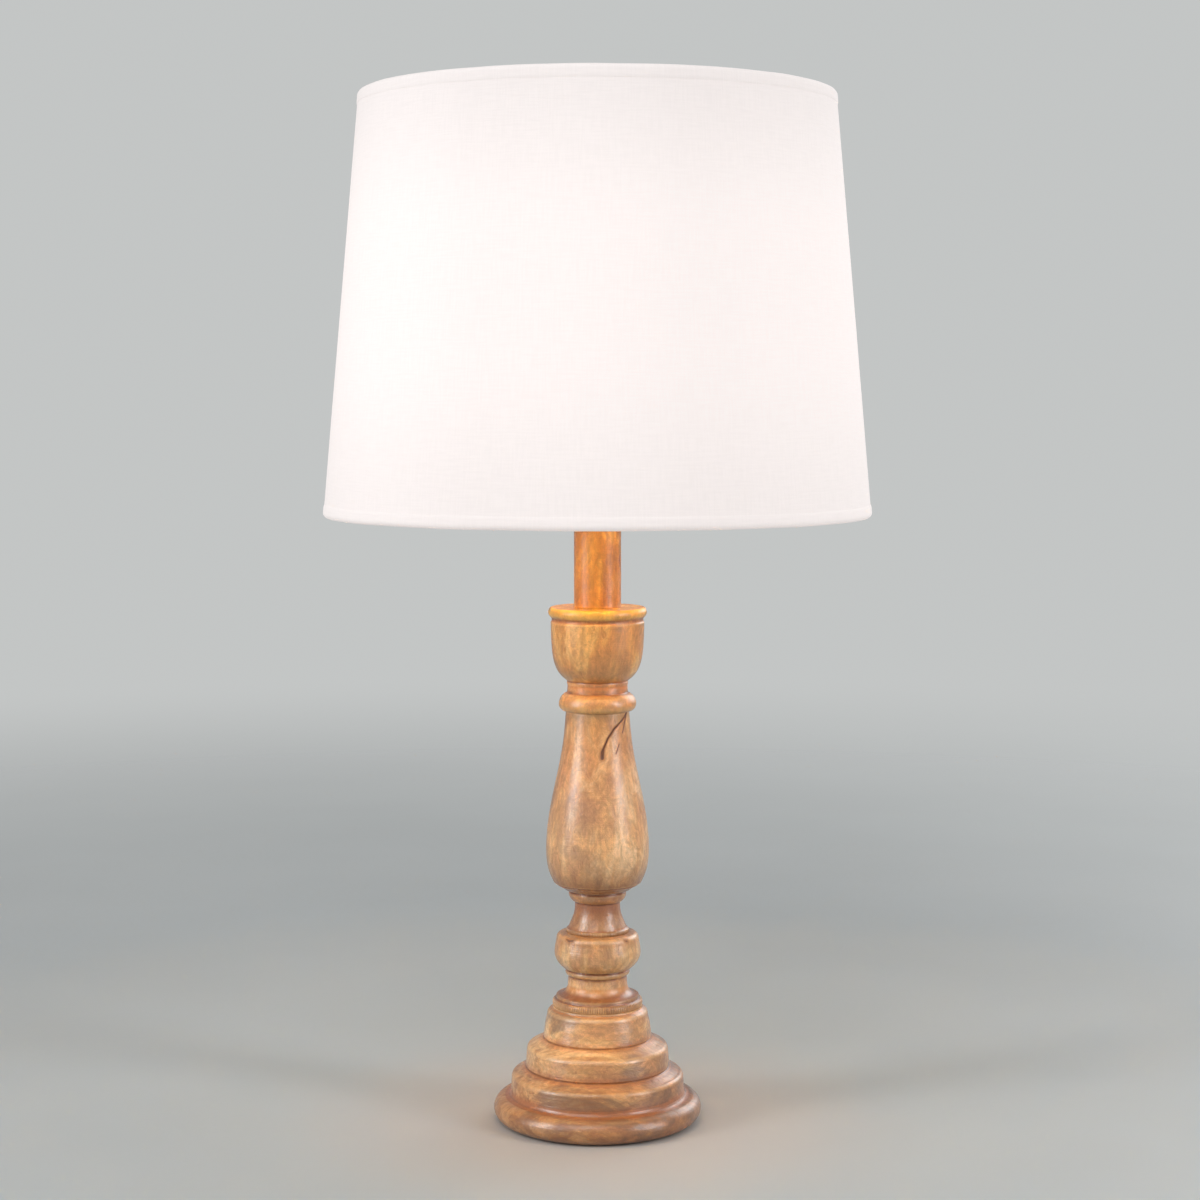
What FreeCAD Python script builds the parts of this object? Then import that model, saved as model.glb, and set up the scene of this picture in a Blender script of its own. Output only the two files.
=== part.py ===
import FreeCAD, Part
import math
import os

# Table lamp: a turned wooden column on a stepped round foot, an E27 lampholder with a push-bar switch,
# a screw-in bulb and a tapered drum shade of fabric on a liner, carried by a three-armed gimbal.
# Millimetres, +Z up. The origin is on the column's axis, on the surface that the lamp stands on.
# The cable inlet is at the rear, on the +Y side of the foot.

# Foot and column
foot_radius = 67.5
foot_rim_height = 8.5
foot_underside = 0.6
felt_radius = 57.0
felt_thickness = 1.5
recess_radius = 24.0
recess_top = 15.0
column_bore = 5.3
spigot_radius = 12.0
spigot_length = 9.0
spigot_gap = 0.1
foot_top = 75.5
lower_spindle_top = 124.0
vase_top = 268.2
cup_top = 335.0
tube_radius = 15.1
tube_top = 404.0

# Cable inlet
inlet_height = 9.0
inlet_hole_radius = 4.0
bush_bore_radius = 3.4
bush_radius = 4.8
bush_flange_radius = 6.2
bush_flange_thickness = 2.0
bush_length = 12.5
bush_outer_end = 66.0

# Threaded rod and its fastenings, M10 x 1
rod_radius = 5.0
rod_bore_radius = 3.7
rod_bottom = 3.2
thread_pitch = 1.0
thread_depth = 0.5
washer_radius = 15.0
washer_thickness = 2.0
lock_washer_radius = 9.0
lock_washer_thickness = 1.6
nut_across_flats = 17.0
nut_height = 5.0

# Lampholder, E27
holder_radius = 19.5
holder_base_bottom = tube_top + 2.0
holder_base_height = 24.0
holder_floor = 9.0
holder_wall = 1.8
holder_body_height = 34.0
holder_mouth_radius = 15.0
sleeve_thread_pitch = 2.5
carrier_radius = 16.0
carrier_height = 7.5
lamp_thread_pitch = 3.629
shell_bore_radius = 13.0
shell_wave = 0.5
shell_outer_radius = 14.9
bar_radius = 3.0
bar_gap = 0.08
bar_travel = 6.0
bar_stand_out = 2.0

# Shade rings and gimbal
shade_ring_radius = 27.0
shade_ring_height = 6.0
gimbal_height = 441.0
gimbal_thickness = 1.5
gimbal_gap = 0.3
gimbal_bore_radius = 20.9
gimbal_outer_radius = 29.0
arm_count = 3
arm_radius = 1.8
arm_bend_radius = 14.0

# Shade
shade_bottom = 393.3
shade_height = 266.5
shade_bottom_radius = 175.0
shade_top_radius = 150.8
fabric_thickness = 0.5
liner_thickness = 0.8
wire_radius = 2.0
wire_gap = 0.1
hem_height = 8.0
hem_return = 6.0
seam_width = 11.0

# Bulb, 60 mm globe with an E27 cap
bulb_tip = 438.6
bulb_radius = 30.0
bulb_length = 108.0
bulb_cap_thread_radius = 12.75
bulb_cap_wave = 0.45
dome_wall = 1.5
dome_rim = 505.0
body_gap = 0.3
chip_count = 10

origin = FreeCAD.Vector(0, 0, 0)
up = FreeCAD.Vector(0, 0, 1)
across = FreeCAD.Vector(1, 0, 0)
rearward = FreeCAD.Vector(0, 1, 0)

holder_joint = holder_base_bottom + holder_base_height
holder_top = holder_joint + holder_body_height
carrier_bottom = holder_joint - 2.0
carrier_top = carrier_bottom + carrier_height
bar_height = holder_base_bottom + holder_floor + bar_radius + 2.5
shade_top = shade_bottom + shade_height
shell_bottom = carrier_top + 1.0
shell_turns = 6
cap_thread_bottom = bulb_tip + 8.0
cap_thread_turns = 4
cap_top = cap_thread_bottom + cap_thread_turns * lamp_thread_pitch + 3.0
bulb_top = bulb_tip + bulb_length
dome_centre = bulb_top - bulb_radius


def place(radius, height):
    """A point of a turned section, in the XZ plane."""
    return FreeCAD.Vector(radius, 0, height)


class Outline:
    """A closed section drawn from point to point as (radius, height), then turned about the axis."""

    def __init__(self, radius, height):
        self.first = place(radius, height)
        self.last = self.first
        self.edges = []

    def line(self, *ends):
        for end in ends:
            target = place(*end)
            self.edges.append(Part.LineSegment(self.last, target).toShape())
            self.last = target
        return self

    def arc(self, middle, end):
        target = place(*end)
        self.edges.append(Part.Arc(self.last, place(*middle), target).toShape())
        self.last = target
        return self

    def curve(self, *points):
        targets = [place(*each) for each in points]
        spline = Part.BSplineCurve()
        spline.interpolate([self.last] + targets)
        self.edges.append(spline.toShape())
        self.last = targets[-1]
        return self

    def wave(self, mean_radius, depth, pitch, turns):
        """A round thread's section, upwards from the last point, as alternate outward and inward arcs."""
        start = self.last.z
        for step in range(2 * turns):
            side = 1 if step % 2 == 0 else -1
            low = start + step * pitch / 2
            self.arc((mean_radius + side * depth, low + pitch / 4), (mean_radius, low + pitch / 2))
        return self

    def ridges(self, crest, root, pitch, turns):
        """A sharp thread's section, upwards from the last point, as trapezoid ridges."""
        start = self.last.z
        for turn in range(turns):
            low = start + turn * pitch
            self.line((crest, low + 0.3 * pitch), (crest, low + 0.5 * pitch))
            self.line((root, low + 0.8 * pitch), (root, low + pitch))
        return self

    def turned(self, angle=360):
        self.edges.append(Part.LineSegment(self.last, self.first).toShape())
        return Part.Face(Part.Wire(self.edges)).revolve(origin, up, angle)


def pillar(radius, low, high):
    return Part.makeCylinder(radius, high - low, place(0, low), up)


def tube(outer, inner, low, high):
    return pillar(outer, low, high).cut(pillar(inner, low, high))


def rod_along(direction, radius, start, length):
    """A round rod from a start point along a direction."""
    return Part.makeCylinder(radius, length, start, direction)


def around(shape, count, first_angle=0.0):
    """Copies of a shape spaced evenly about the axis."""
    copies = []
    for index in range(count):
        turned = shape.copy()
        turned.rotate(origin, up, first_angle + index * 360.0 / count)
        copies.append(turned)
    return copies


def bored(solid, low, high):
    """A column piece with the rod's bore and a socket at its top for the next piece's spigot."""
    socket_radius = spigot_radius + spigot_gap
    socket = pillar(socket_radius, high - spigot_length - spigot_gap, high)
    return solid.cut(pillar(column_bore, low, high)).cut(socket)


def spigot_below(low):
    return tube(spigot_radius, column_bore, low - spigot_length, low)


# Wooden foot and column


def foot():
    """Rounded rim, two stepped tiers and a drum, with a recess beneath for the nut and the cable."""
    rim_centre_radius = foot_radius - foot_rim_height + foot_underside
    rim_top = 2 * foot_rim_height - foot_underside
    section = Outline(0, foot_underside)
    section.line((rim_centre_radius, foot_underside))
    section.arc((foot_radius, foot_rim_height), (rim_centre_radius, rim_top))
    section.line((57.4, 17.4), (56.5, 19.0), (55.9, 28.6))
    section.arc((55.2, 30.6), (53.2, 31.8))
    section.line((47.3, 35.0), (46.2, 35.5), (46.8, 36.4), (46.0, 46.6))
    section.arc((45.2, 49.0), (43.2, 50.4))
    section.line((36.0, 54.2), (34.8, 54.6), (35.2, 55.6), (34.0, 64.0), (32.8, 69.8))
    section.arc((31.9, 72.4), (30.2, 73.6))
    section.line((29.2, 74.6), (29.2, foot_top), (0, foot_top))
    body = bored(section.turned(), foot_underside, foot_top)
    body = body.cut(pillar(recess_radius, 0, recess_top))
    body = body.cut(pillar(felt_radius + spigot_gap, 0, felt_thickness))
    inlet = place(0, inlet_height)
    channel = rod_along(rearward, inlet_hole_radius, inlet, foot_radius)
    bush_start = bush_outer_end - bush_length
    bush_seat = rod_along(rearward, bush_radius, FreeCAD.Vector(0, bush_start, inlet_height), foot_radius)
    flange_seat_start = bush_outer_end - bush_flange_thickness
    flange_start = FreeCAD.Vector(0, flange_seat_start, inlet_height)
    flange_seat = rod_along(rearward, bush_flange_radius + spigot_gap, flange_start, foot_radius)
    return body.cut(channel).cut(bush_seat).cut(flange_seat)


def lower_spindle():
    """Bead, hollow cove, ring and knop."""
    section = Outline(0, foot_top)
    section.line((28.5, foot_top))
    section.arc((29.3, 77.7), (28.5, 79.8))
    section.line((27.4, 80.2), (27.0, 80.8), (26.8, 82.5))
    section.arc((21.5, 84.7), (19.3, 90.0))
    section.line((19.1, 93.6), (18.9, 95.5), (20.3, 96.4))
    section.arc((20.9, 97.9), (20.4, 99.3))
    section.line((20.0, 99.8), (22.3, 100.6))
    section.curve((25.7, 104.2), (27.9, 109.4), (27.6, 114.6), (26.7, 119.4))
    section.arc((25.9, 122.1), (24.0, 123.4))
    section.line((21.4, lower_spindle_top), (0, lower_spindle_top))
    body = bored(section.turned(), foot_top, lower_spindle_top)
    return body.fuse(spigot_below(foot_top)).removeSplitter()


def vase_spindle():
    """Fillet, waisted cove, ring and the long vase that tapers up to the collar."""
    low = lower_spindle_top
    section = Outline(0, low)
    section.line((20.0, low))
    section.arc((20.5, low + 1.2), (19.9, low + 2.3))
    section.line((19.0, low + 2.9))
    section.curve((16.7, 132.2), (15.2, 136.6), (14.7, 140.6), (14.8, 143.9))
    section.line((16.4, 144.6))
    section.arc((18.1, 146.9), (18.7, 149.9))
    section.line((18.2, 150.6), (18.2, 151.4), (21.2, 151.9))
    section.curve((22.6, 153.0), (26.6, 155.3))
    section.line((26.4, 156.0), (28.4, 156.6))
    section.curve((31.1, 162.7), (33.3, 178.0), (32.4, 193.0), (29.2, 212.5), (25.3, 230.7),
                  (22.3, 247.6), (20.4, vase_top))
    section.line((0, vase_top))
    body = bored(section.turned(), low, vase_top)
    return body.fuse(spigot_below(low)).removeSplitter()


def cup_spindle():
    """Round collar, short neck and the cup with its lip."""
    section = Outline(0, vase_top)
    section.line((20.8, vase_top))
    section.arc((24.0, 269.8), (24.9, 272.7))
    section.arc((23.9, 276.6), (20.4, 279.8))
    section.line((19.6, 280.3), (19.3, 284.4), (19.8, 286.8), (19.4, 287.5), (20.5, 288.4))
    section.curve((23.2, 290.8), (26.4, 295.4), (28.7, 303.0), (29.7, 313.0), (30.1, 325.4))
    section.line((29.5, 326.3), (29.5, 328.0), (30.2, 328.8))
    section.arc((31.7, 331.9), (30.2, cup_top))
    section.line((0, cup_top))
    body = bored(section.turned(), vase_top, cup_top)
    return body.fuse(spigot_below(vase_top)).removeSplitter()


def candle_tube():
    edge = 0.6
    section = Outline(column_bore, cup_top)
    section.line((tube_radius, cup_top), (tube_radius, tube_top - edge), (tube_radius - edge, tube_top))
    section.line((column_bore, tube_top))
    return section.turned().fuse(spigot_below(cup_top)).removeSplitter()


def felt_pad():
    return pillar(felt_radius, 0, felt_thickness)


def cable_bush():
    """Flanged bush that lines the cable's way into the foot."""
    flange_start = bush_outer_end - bush_flange_thickness
    inner_end = bush_outer_end - bush_length
    bush = rod_along(rearward, bush_radius, FreeCAD.Vector(0, inner_end, inlet_height), bush_length)
    flange_seat = FreeCAD.Vector(0, flange_start, inlet_height)
    flange = rod_along(rearward, bush_flange_radius, flange_seat, bush_flange_thickness)
    bore = rod_along(rearward, bush_bore_radius, FreeCAD.Vector(0, inner_end, inlet_height), bush_length)
    return bush.fuse(flange).cut(bore).removeSplitter()


# Threaded rod and fastenings


def threaded_rod():
    """Hollow rod that clamps the column from the foot to the lampholder, threaded at both ends."""
    turns_below = 16
    turns_above = 14
    rod_top = holder_base_bottom + holder_floor - 0.5
    root = rod_radius - thread_depth
    section = Outline(rod_bore_radius, rod_bottom)
    section.line((root, rod_bottom))
    section.ridges(rod_radius, root, thread_pitch, turns_below)
    plain_top = rod_top - turns_above * thread_pitch
    section.line((root, plain_top))
    section.ridges(rod_radius, root, thread_pitch, turns_above)
    section.line((rod_bore_radius, rod_top))
    return section.turned()


def bottom_washer():
    return tube(washer_radius, rod_radius + 0.2, recess_top - washer_thickness, recess_top)


def lock_washer():
    """Split spring washer between the nut and the plain washer."""
    top = recess_top - washer_thickness
    ring = tube(lock_washer_radius, rod_radius + 0.2, top - lock_washer_thickness, top)
    split = Part.makeBox(lock_washer_radius, 1.0, 2 * lock_washer_thickness)
    split.translate(FreeCAD.Vector(rod_radius - 1.0, -0.5, top - 1.5 * lock_washer_thickness))
    return ring.cut(split)


def bottom_nut():
    top = recess_top - washer_thickness - lock_washer_thickness
    bottom = top - nut_height
    corner = nut_across_flats / math.sqrt(3)
    corners = [place(corner, bottom)]
    for index in range(1, 7):
        angle = math.radians(60 * index)
        corners.append(FreeCAD.Vector(corner * math.cos(angle), corner * math.sin(angle), bottom))
    prism = Part.Face(Part.makePolygon(corners)).extrude(up * nut_height)
    chamfer = 1.0
    rounding = Outline(0, bottom)
    rounding.line((corner - chamfer, bottom), (corner, bottom + 0.6 * chamfer))
    rounding.line((corner, top - 0.6 * chamfer), (corner - chamfer, top), (0, top))
    return prism.common(rounding.turned()).cut(pillar(rod_radius + 0.05, bottom, top))


# Lampholder


def tube_cap():
    """Thin metal cap that closes the tube's end under the lampholder."""
    section = Outline(rod_radius + 0.2, tube_top)
    section.line((tube_radius - 0.8, tube_top), (tube_radius - 0.8, tube_top + 0.8))
    section.arc((12.0, tube_top + 1.6), (9.0, holder_base_bottom))
    section.line((rod_radius + 0.2, holder_base_bottom))
    return section.turned()


def holder_base():
    """Lower cup of the lampholder, with the rod's threaded boss and holes for the switch bar."""
    bottom = holder_base_bottom
    floor_top = bottom + holder_floor
    inner = holder_radius - holder_wall
    section = Outline(rod_radius + 0.05, bottom)
    section.line((11.0, bottom))
    section.curve((15.6, bottom + 1.8), (18.6, bottom + 5.2), (holder_radius, bottom + 10.0))
    section.line((holder_radius, holder_joint), (inner, holder_joint), (inner, floor_top + 2.0))
    section.line((inner - 2.0, floor_top), (rod_radius + 0.05, floor_top))
    bar_start = FreeCAD.Vector(-2 * holder_radius, 0, bar_height)
    bar_hole = rod_along(across, bar_radius + bar_gap, bar_start, 4 * holder_radius)
    screw_hole = rod_along(rearward, 1.6, FreeCAD.Vector(0, 0, bottom + 5.0), 2 * holder_radius)
    return section.turned().cut(bar_hole).cut(screw_hole)


def holder_grub_screw():
    """Locks the lampholder on the rod, from the rear."""
    start = FreeCAD.Vector(0, rod_radius + 0.3, holder_base_bottom + 5.0)
    screw = rod_along(rearward, 1.5, start, 10.0)
    slot = Part.makeBox(4.0, 1.2, 0.7)
    slot.translate(FreeCAD.Vector(-2.0, start.y + 9.2, start.z - 0.35))
    return screw.cut(slot)


def holder_body():
    """Upper sleeve with the outer thread for the shade rings and the mouth for the bulb's cap."""
    crest = holder_radius + 0.1
    root = holder_radius - 0.7
    flange = holder_radius + 1.4
    spigot = holder_radius - holder_wall - 0.1
    carrier_seat = carrier_radius + 0.1
    thread_turns = 11
    section = Outline(carrier_seat, holder_joint - 4.0)
    section.line((spigot, holder_joint - 4.0), (spigot, holder_joint), (flange, holder_joint))
    section.line((flange, holder_joint + 2.0), (root, holder_joint + 2.4))
    section.ridges(crest, root, sleeve_thread_pitch, thread_turns)
    section.line((root, holder_top - 1.2), (root - 1.2, holder_top), (holder_mouth_radius, holder_top))
    section.line((holder_mouth_radius, carrier_top), (carrier_seat, carrier_top))
    return section.turned()


def contact_carrier():
    """Ceramic disc that carries the contacts and the terminals."""
    disc = pillar(carrier_radius, carrier_bottom, carrier_top)
    for side in (-1, 1):
        wire_hole = rod_along(up, 1.6, FreeCAD.Vector(side * 4.0, -9.5, carrier_bottom), carrier_height)
        screw_hole = rod_along(up, 1.6, FreeCAD.Vector(side * 9.5, 0, carrier_bottom), carrier_height - 2.0)
        disc = disc.cut(wire_hole).cut(screw_hole)
    return disc


def terminal_screws():
    """Two cheese-head screws under the carrier, one for each contact."""
    screws = []
    for side in (-1, 1):
        foot_point = FreeCAD.Vector(side * 9.5, 0, carrier_bottom - 2.0)
        head = rod_along(up, 2.8, foot_point, 2.0)
        shank = rod_along(up, 1.5, foot_point, carrier_height - 1.0)
        slot = Part.makeBox(6.0, 0.7, 0.8)
        slot.translate(FreeCAD.Vector(foot_point.x - 3.0, -0.35, foot_point.z))
        screws.append(head.fuse(shank).cut(slot).removeSplitter())
    return Part.makeCompound(screws)


def metal_strip(points, width, thickness):
    """A bent strip through (x, z) points, rounded where it bends and centred on Y."""
    pieces = []
    for start, end in zip(points, points[1:]):
        run = math.hypot(end[0] - start[0], end[1] - start[1])
        slope = math.degrees(math.atan2(end[1] - start[1], end[0] - start[0]))
        piece = Part.makeBox(run, width, thickness)
        piece.translate(FreeCAD.Vector(0, -width / 2, -thickness / 2))
        piece.rotate(origin, rearward, -slope)
        piece.translate(place(*start))
        pieces.append(piece)
    for bend in points[1:-1]:
        corner = FreeCAD.Vector(bend[0], -width / 2, bend[1])
        pieces.append(rod_along(rearward, thickness / 2, corner, width))
    return pieces[0].multiFuse(pieces[1:]).removeSplitter()


def centre_contact():
    """Springy tongue that the bulb's tip presses on."""
    thickness = 0.5
    low = carrier_top + thickness / 2
    tip = bulb_tip - body_gap - thickness / 2
    return metal_strip([(9.5, low), (4.5, low), (0.6, tip), (-1.2, tip), (-2.4, tip - 0.7)], 5.0, thickness)


def side_contact():
    """Strip from the second terminal, cranked up to press on the screw shell's lower rim."""
    thickness = 0.5
    low = carrier_top + thickness / 2
    rim = shell_bottom - thickness / 2
    return metal_strip([(-6.0, low), (-11.4, low), (-12.6, rim), (-14.3, rim)], 4.0, thickness)


def screw_shell():
    """Round-threaded shell that takes the bulb's cap."""
    mean = shell_bore_radius + shell_wave
    section = Outline(mean, shell_bottom)
    section.wave(mean, shell_wave, lamp_thread_pitch, shell_turns)
    top = section.last.z
    section.line((mean + 0.4, top + 1.0), (shell_outer_radius, top + 1.0), (shell_outer_radius, shell_bottom))
    return section.turned()


def switch_bar():
    """Bar that is pushed through the lampholder from either side. It moves along +X."""
    round_end = 1.2
    left = -holder_radius - bar_stand_out - bar_travel
    right = holder_radius + bar_stand_out
    section = Outline(0, left)
    section.line((bar_radius - round_end, left))
    section.arc((bar_radius - 0.3 * round_end, left + 0.3 * round_end), (bar_radius, left + round_end))
    section.line((bar_radius, right - round_end))
    section.arc((bar_radius - 0.3 * round_end, right - 0.3 * round_end), (bar_radius - round_end, right))
    section.line((0, right))
    bar = section.turned()
    bar.rotate(origin, rearward, 90)
    bar.translate(FreeCAD.Vector(0, 0, bar_height))
    notch = Part.makeBox(10.0, 2 * bar_radius, bar_radius)
    notch.translate(FreeCAD.Vector(-5.0 - bar_travel / 2, -bar_radius, bar_height + 0.4 * bar_radius))
    return bar.cut(notch)


def switch_contact():
    """Contact leaf above the switch bar's notch, under the carrier."""
    thickness = 0.5
    high = carrier_bottom - thickness / 2
    low = bar_height + bar_radius + body_gap + thickness / 2
    return metal_strip([(-6.2, high), (-4.0, high), (-2.0, low), (2.0, low), (4.0, high), (6.2, high)],
                       5.0, thickness)


def shade_ring(bottom):
    """Threaded ring with grip notches around its edge."""
    notch_radius = 1.4
    notch_count = 20
    bore = holder_radius + 0.2
    edge = 0.8
    section = Outline(bore, bottom)
    section.line((shade_ring_radius - edge, bottom), (shade_ring_radius, bottom + edge))
    section.line((shade_ring_radius, bottom + shade_ring_height - edge))
    section.line((shade_ring_radius - edge, bottom + shade_ring_height), (bore, bottom + shade_ring_height))
    notch = rod_along(up, notch_radius, place(shade_ring_radius + 0.4, bottom), shade_ring_height)
    return section.turned().cut(Part.makeCompound(around(notch, notch_count)))


def shade_ring_lower():
    return shade_ring(gimbal_height - gimbal_thickness / 2 - gimbal_gap - shade_ring_height)


def shade_ring_upper():
    return shade_ring(gimbal_height + gimbal_thickness / 2 + gimbal_gap)


# Shade


def shade_radius(height):
    """The shade's outer radius at a height."""
    share = (height - shade_bottom) / shade_height
    return shade_bottom_radius + share * (shade_top_radius - shade_bottom_radius)


def wall_point(depth, height):
    """A point at a depth inside the shade's outer face."""
    return shade_radius(height) - depth, height


def wall(outer_depth, inner_depth, low, high, angle=360):
    """A stretch of the shade's tapered wall between two depths."""
    section = Outline(*wall_point(outer_depth, low))
    section.line(wall_point(outer_depth, high), wall_point(inner_depth, high), wall_point(inner_depth, low))
    return section.turned(angle)


hem_width = 3 * fabric_thickness + liner_thickness + 2 * wire_radius + wire_gap
hem_round = hem_width / 2
wire_depth = 2 * fabric_thickness + liner_thickness + wire_radius + wire_gap / 2
wire_offset = hem_round + 0.15
cloth_end = hem_round + 0.05


def gimbal_ring():
    low = gimbal_height - gimbal_thickness / 2
    return tube(gimbal_outer_radius, gimbal_bore_radius, low, low + gimbal_thickness)


def gimbal_arms():
    """Wire arms, level from the ring, then bent down inside the wall to the bottom wire ring."""
    wire_top = shade_bottom + wire_offset + wire_radius
    foot_radius_here, foot_height = wall_point(wire_depth, wire_top)
    knee_radius, knee_height = wall_point(wire_depth, gimbal_height)
    slope = math.atan2(foot_radius_here - knee_radius, knee_height - foot_height)
    turn = math.pi / 2 + slope
    setback = arm_bend_radius * math.tan(turn / 2)
    bend_start = knee_radius - setback
    centre = place(bend_start, gimbal_height - arm_bend_radius)
    middle = centre + place(math.sin(turn / 2), math.cos(turn / 2)) * arm_bend_radius
    bend_end = centre + place(math.sin(turn), math.cos(turn)) * arm_bend_radius
    start = place(gimbal_outer_radius, gimbal_height)
    level = Part.LineSegment(start, place(bend_start, gimbal_height)).toShape()
    bend = Part.Arc(place(bend_start, gimbal_height), middle, bend_end).toShape()
    down = Part.LineSegment(bend_end, place(foot_radius_here, foot_height)).toShape()
    rim = Part.Wire(Part.makeCircle(arm_radius, start, across))
    arm = Part.Wire([level, bend, down]).makePipeShell([rim], True, False)
    return Part.makeCompound(around(arm, arm_count, 90.0))


def wire_ring(height):
    ring_radius, ring_height = wall_point(wire_depth, height)
    return Part.makeTorus(ring_radius, wire_radius, place(0, ring_height), up)


def bottom_wire_ring():
    return wire_ring(shade_bottom + wire_offset)


def top_wire_ring():
    return wire_ring(shade_top - wire_offset)


def shade_liner():
    outer = 2 * fabric_thickness
    return wall(outer, outer + liner_thickness, shade_bottom + cloth_end, shade_top - cloth_end)


def shade_fabric():
    return wall(fabric_thickness, 2 * fabric_thickness, shade_bottom + cloth_end, shade_top - cloth_end)


def shade_seam():
    """Overlapped edge of the fabric, up the rear of the shade between the hems."""
    half_angle = math.degrees(seam_width / 2 / shade_bottom_radius)
    low = shade_bottom + hem_height + 0.2
    strip = wall(0, fabric_thickness, low, shade_top - hem_height - 0.2, 2 * half_angle)
    strip.rotate(origin, up, 90 - half_angle)
    return strip


def hem(edge, inward):
    """Fabric folded round a rim and its wire ring. inward is 1 at the bottom rim and -1 at the top rim."""
    def at(depth, offset):
        return wall_point(depth, edge + inward * offset)

    thickness = fabric_thickness
    section = Outline(*at(0, hem_height))
    section.line(at(0, hem_round))
    section.arc(at(hem_round, 0), at(hem_width, hem_round))
    section.line(at(hem_width, hem_return), at(hem_width - thickness, hem_return))
    section.line(at(hem_width - thickness, hem_round))
    section.arc(at(hem_round, thickness), at(thickness, hem_round))
    section.line(at(thickness, hem_height))
    return section.turned()


def bottom_hem():
    return hem(shade_bottom, 1)


def top_hem():
    return hem(shade_top, -1)


# Bulb


def bulb_contact():
    section = Outline(0, bulb_tip)
    section.arc((2.8, bulb_tip + 0.6), (4.6, bulb_tip + 1.8))
    section.line((4.6, bulb_tip + 3.0), (0, bulb_tip + 3.0))
    return section.turned()


def bulb_insulator():
    """Glass collar between the tip and the cap."""
    section = Outline(4.6, bulb_tip + 1.6)
    section.curve((6.6, bulb_tip + 2.2), (9.0, bulb_tip + 4.8))
    section.line((9.0, bulb_tip + 6.0), (4.6, bulb_tip + 6.0))
    return section.turned()


def bulb_cap():
    """Metal cap with its round thread."""
    mean = bulb_cap_thread_radius - bulb_cap_wave
    wall_inner = mean - bulb_cap_wave - 0.5
    mouth = 9.0 + body_gap
    section = Outline(mouth, bulb_tip + 4.8)
    section.curve((10.8, bulb_tip + 6.2), (mean, cap_thread_bottom))
    section.wave(mean, bulb_cap_wave, lamp_thread_pitch, cap_thread_turns)
    section.line((mean, cap_top), (wall_inner, cap_top), (wall_inner, cap_thread_bottom))
    section.line((mouth, bulb_tip + 6.6))
    return section.turned()


def dome_rim_radius(inset):
    """The dome's radius at its rim, for a sphere made smaller by an inset."""
    return math.sqrt((bulb_radius - inset) ** 2 - (dome_centre - dome_rim) ** 2)


def bulb_housing():
    """Flared neck between the cap and the dome, with a shelf for the board."""
    neck = bulb_cap_thread_radius + 0.4
    shelf = 22.0
    rim = dome_rim_radius(0)
    section = Outline(neck - 1.6, cap_top)
    section.line((neck, cap_top), (neck + 0.4, cap_top + 2.0))
    section.curve((16.4, 479.0), (22.6, 492.0), (rim, dome_rim))
    section.line((rim - 2 * dome_wall, dome_rim), (rim - 2 * dome_wall, dome_rim - 2.0))
    section.line((shelf, dome_rim - 2.0), (shelf, dome_rim - 3.5))
    section.curve((19.0, 491.0), (14.4, 479.0), (neck - 1.6, cap_top + 2.0))
    return section.turned()


def bulb_dome():
    """Frosted dome on the housing."""
    inner = bulb_radius - dome_wall
    diagonal = math.sqrt(0.5)
    section = Outline(dome_rim_radius(0), dome_rim)
    section.arc((bulb_radius, dome_centre), (bulb_radius * diagonal, dome_centre + bulb_radius * diagonal))
    section.arc((bulb_radius * math.sin(math.pi / 8), dome_centre + bulb_radius * math.cos(math.pi / 8)),
                (0, bulb_top))
    section.line((0, bulb_top - dome_wall))
    section.arc((inner * diagonal, dome_centre + inner * diagonal), (inner, dome_centre))
    side = (dome_rim_radius(dome_wall) + inner) / 2
    section.arc((side + 0.35, (dome_rim + dome_centre) / 2), (dome_rim_radius(dome_wall), dome_rim))
    return section.turned()


def led_board():
    return pillar(dome_rim_radius(0) - 2 * dome_wall - 0.2, dome_rim - 2.0, dome_rim - 0.4)


def led_chips():
    """Light-emitting chips in a ring on the board."""
    chip = Part.makeBox(3.0, 3.0, 0.8)
    chip.translate(FreeCAD.Vector(14.5, -1.5, dome_rim - 0.4))
    return Part.makeCompound(around(chip, chip_count))


def driver_board():
    """Upright circuit board in the neck, with its capacitor and coil."""
    board = Part.makeBox(18.0, 1.6, 34.0)
    board.translate(FreeCAD.Vector(-9.0, -0.8, cap_thread_bottom + 2.0))
    capacitor = rod_along(up, 4.0, FreeCAD.Vector(2.5, 4.5, cap_thread_bottom + 4.0), 14.0)
    coil = Part.makeBox(9.0, 6.0, 9.0)
    coil.translate(FreeCAD.Vector(-4.5, -6.6, cap_thread_bottom + 20.0))
    return board.fuse(capacitor).fuse(coil).removeSplitter()


sub_parts = (
    foot, lower_spindle, vase_spindle, cup_spindle, candle_tube, felt_pad, cable_bush,
    threaded_rod, bottom_washer, lock_washer, bottom_nut,
    tube_cap, holder_base, holder_grub_screw, holder_body, contact_carrier, terminal_screws,
    centre_contact, side_contact, screw_shell, switch_bar, switch_contact,
    shade_ring_lower, shade_ring_upper, gimbal_ring, gimbal_arms, bottom_wire_ring, top_wire_ring,
    shade_liner, shade_fabric, shade_seam, bottom_hem, top_hem,
    bulb_contact, bulb_insulator, bulb_cap, bulb_housing, bulb_dome, led_board, led_chips, driver_board,
)

os.makedirs("parts", exist_ok=True)
for sub_part in sub_parts:
    shape = sub_part()
    name = sub_part.__name__
    print(name, "valid" if shape.isValid() else "INVALID", len(shape.Solids), round(shape.Volume, 1))
    shape.exportStep("parts/" + name + ".step")
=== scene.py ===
import math

import bmesh
import bpy
import numpy as np
from mathutils import Matrix, Vector, noise


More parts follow.
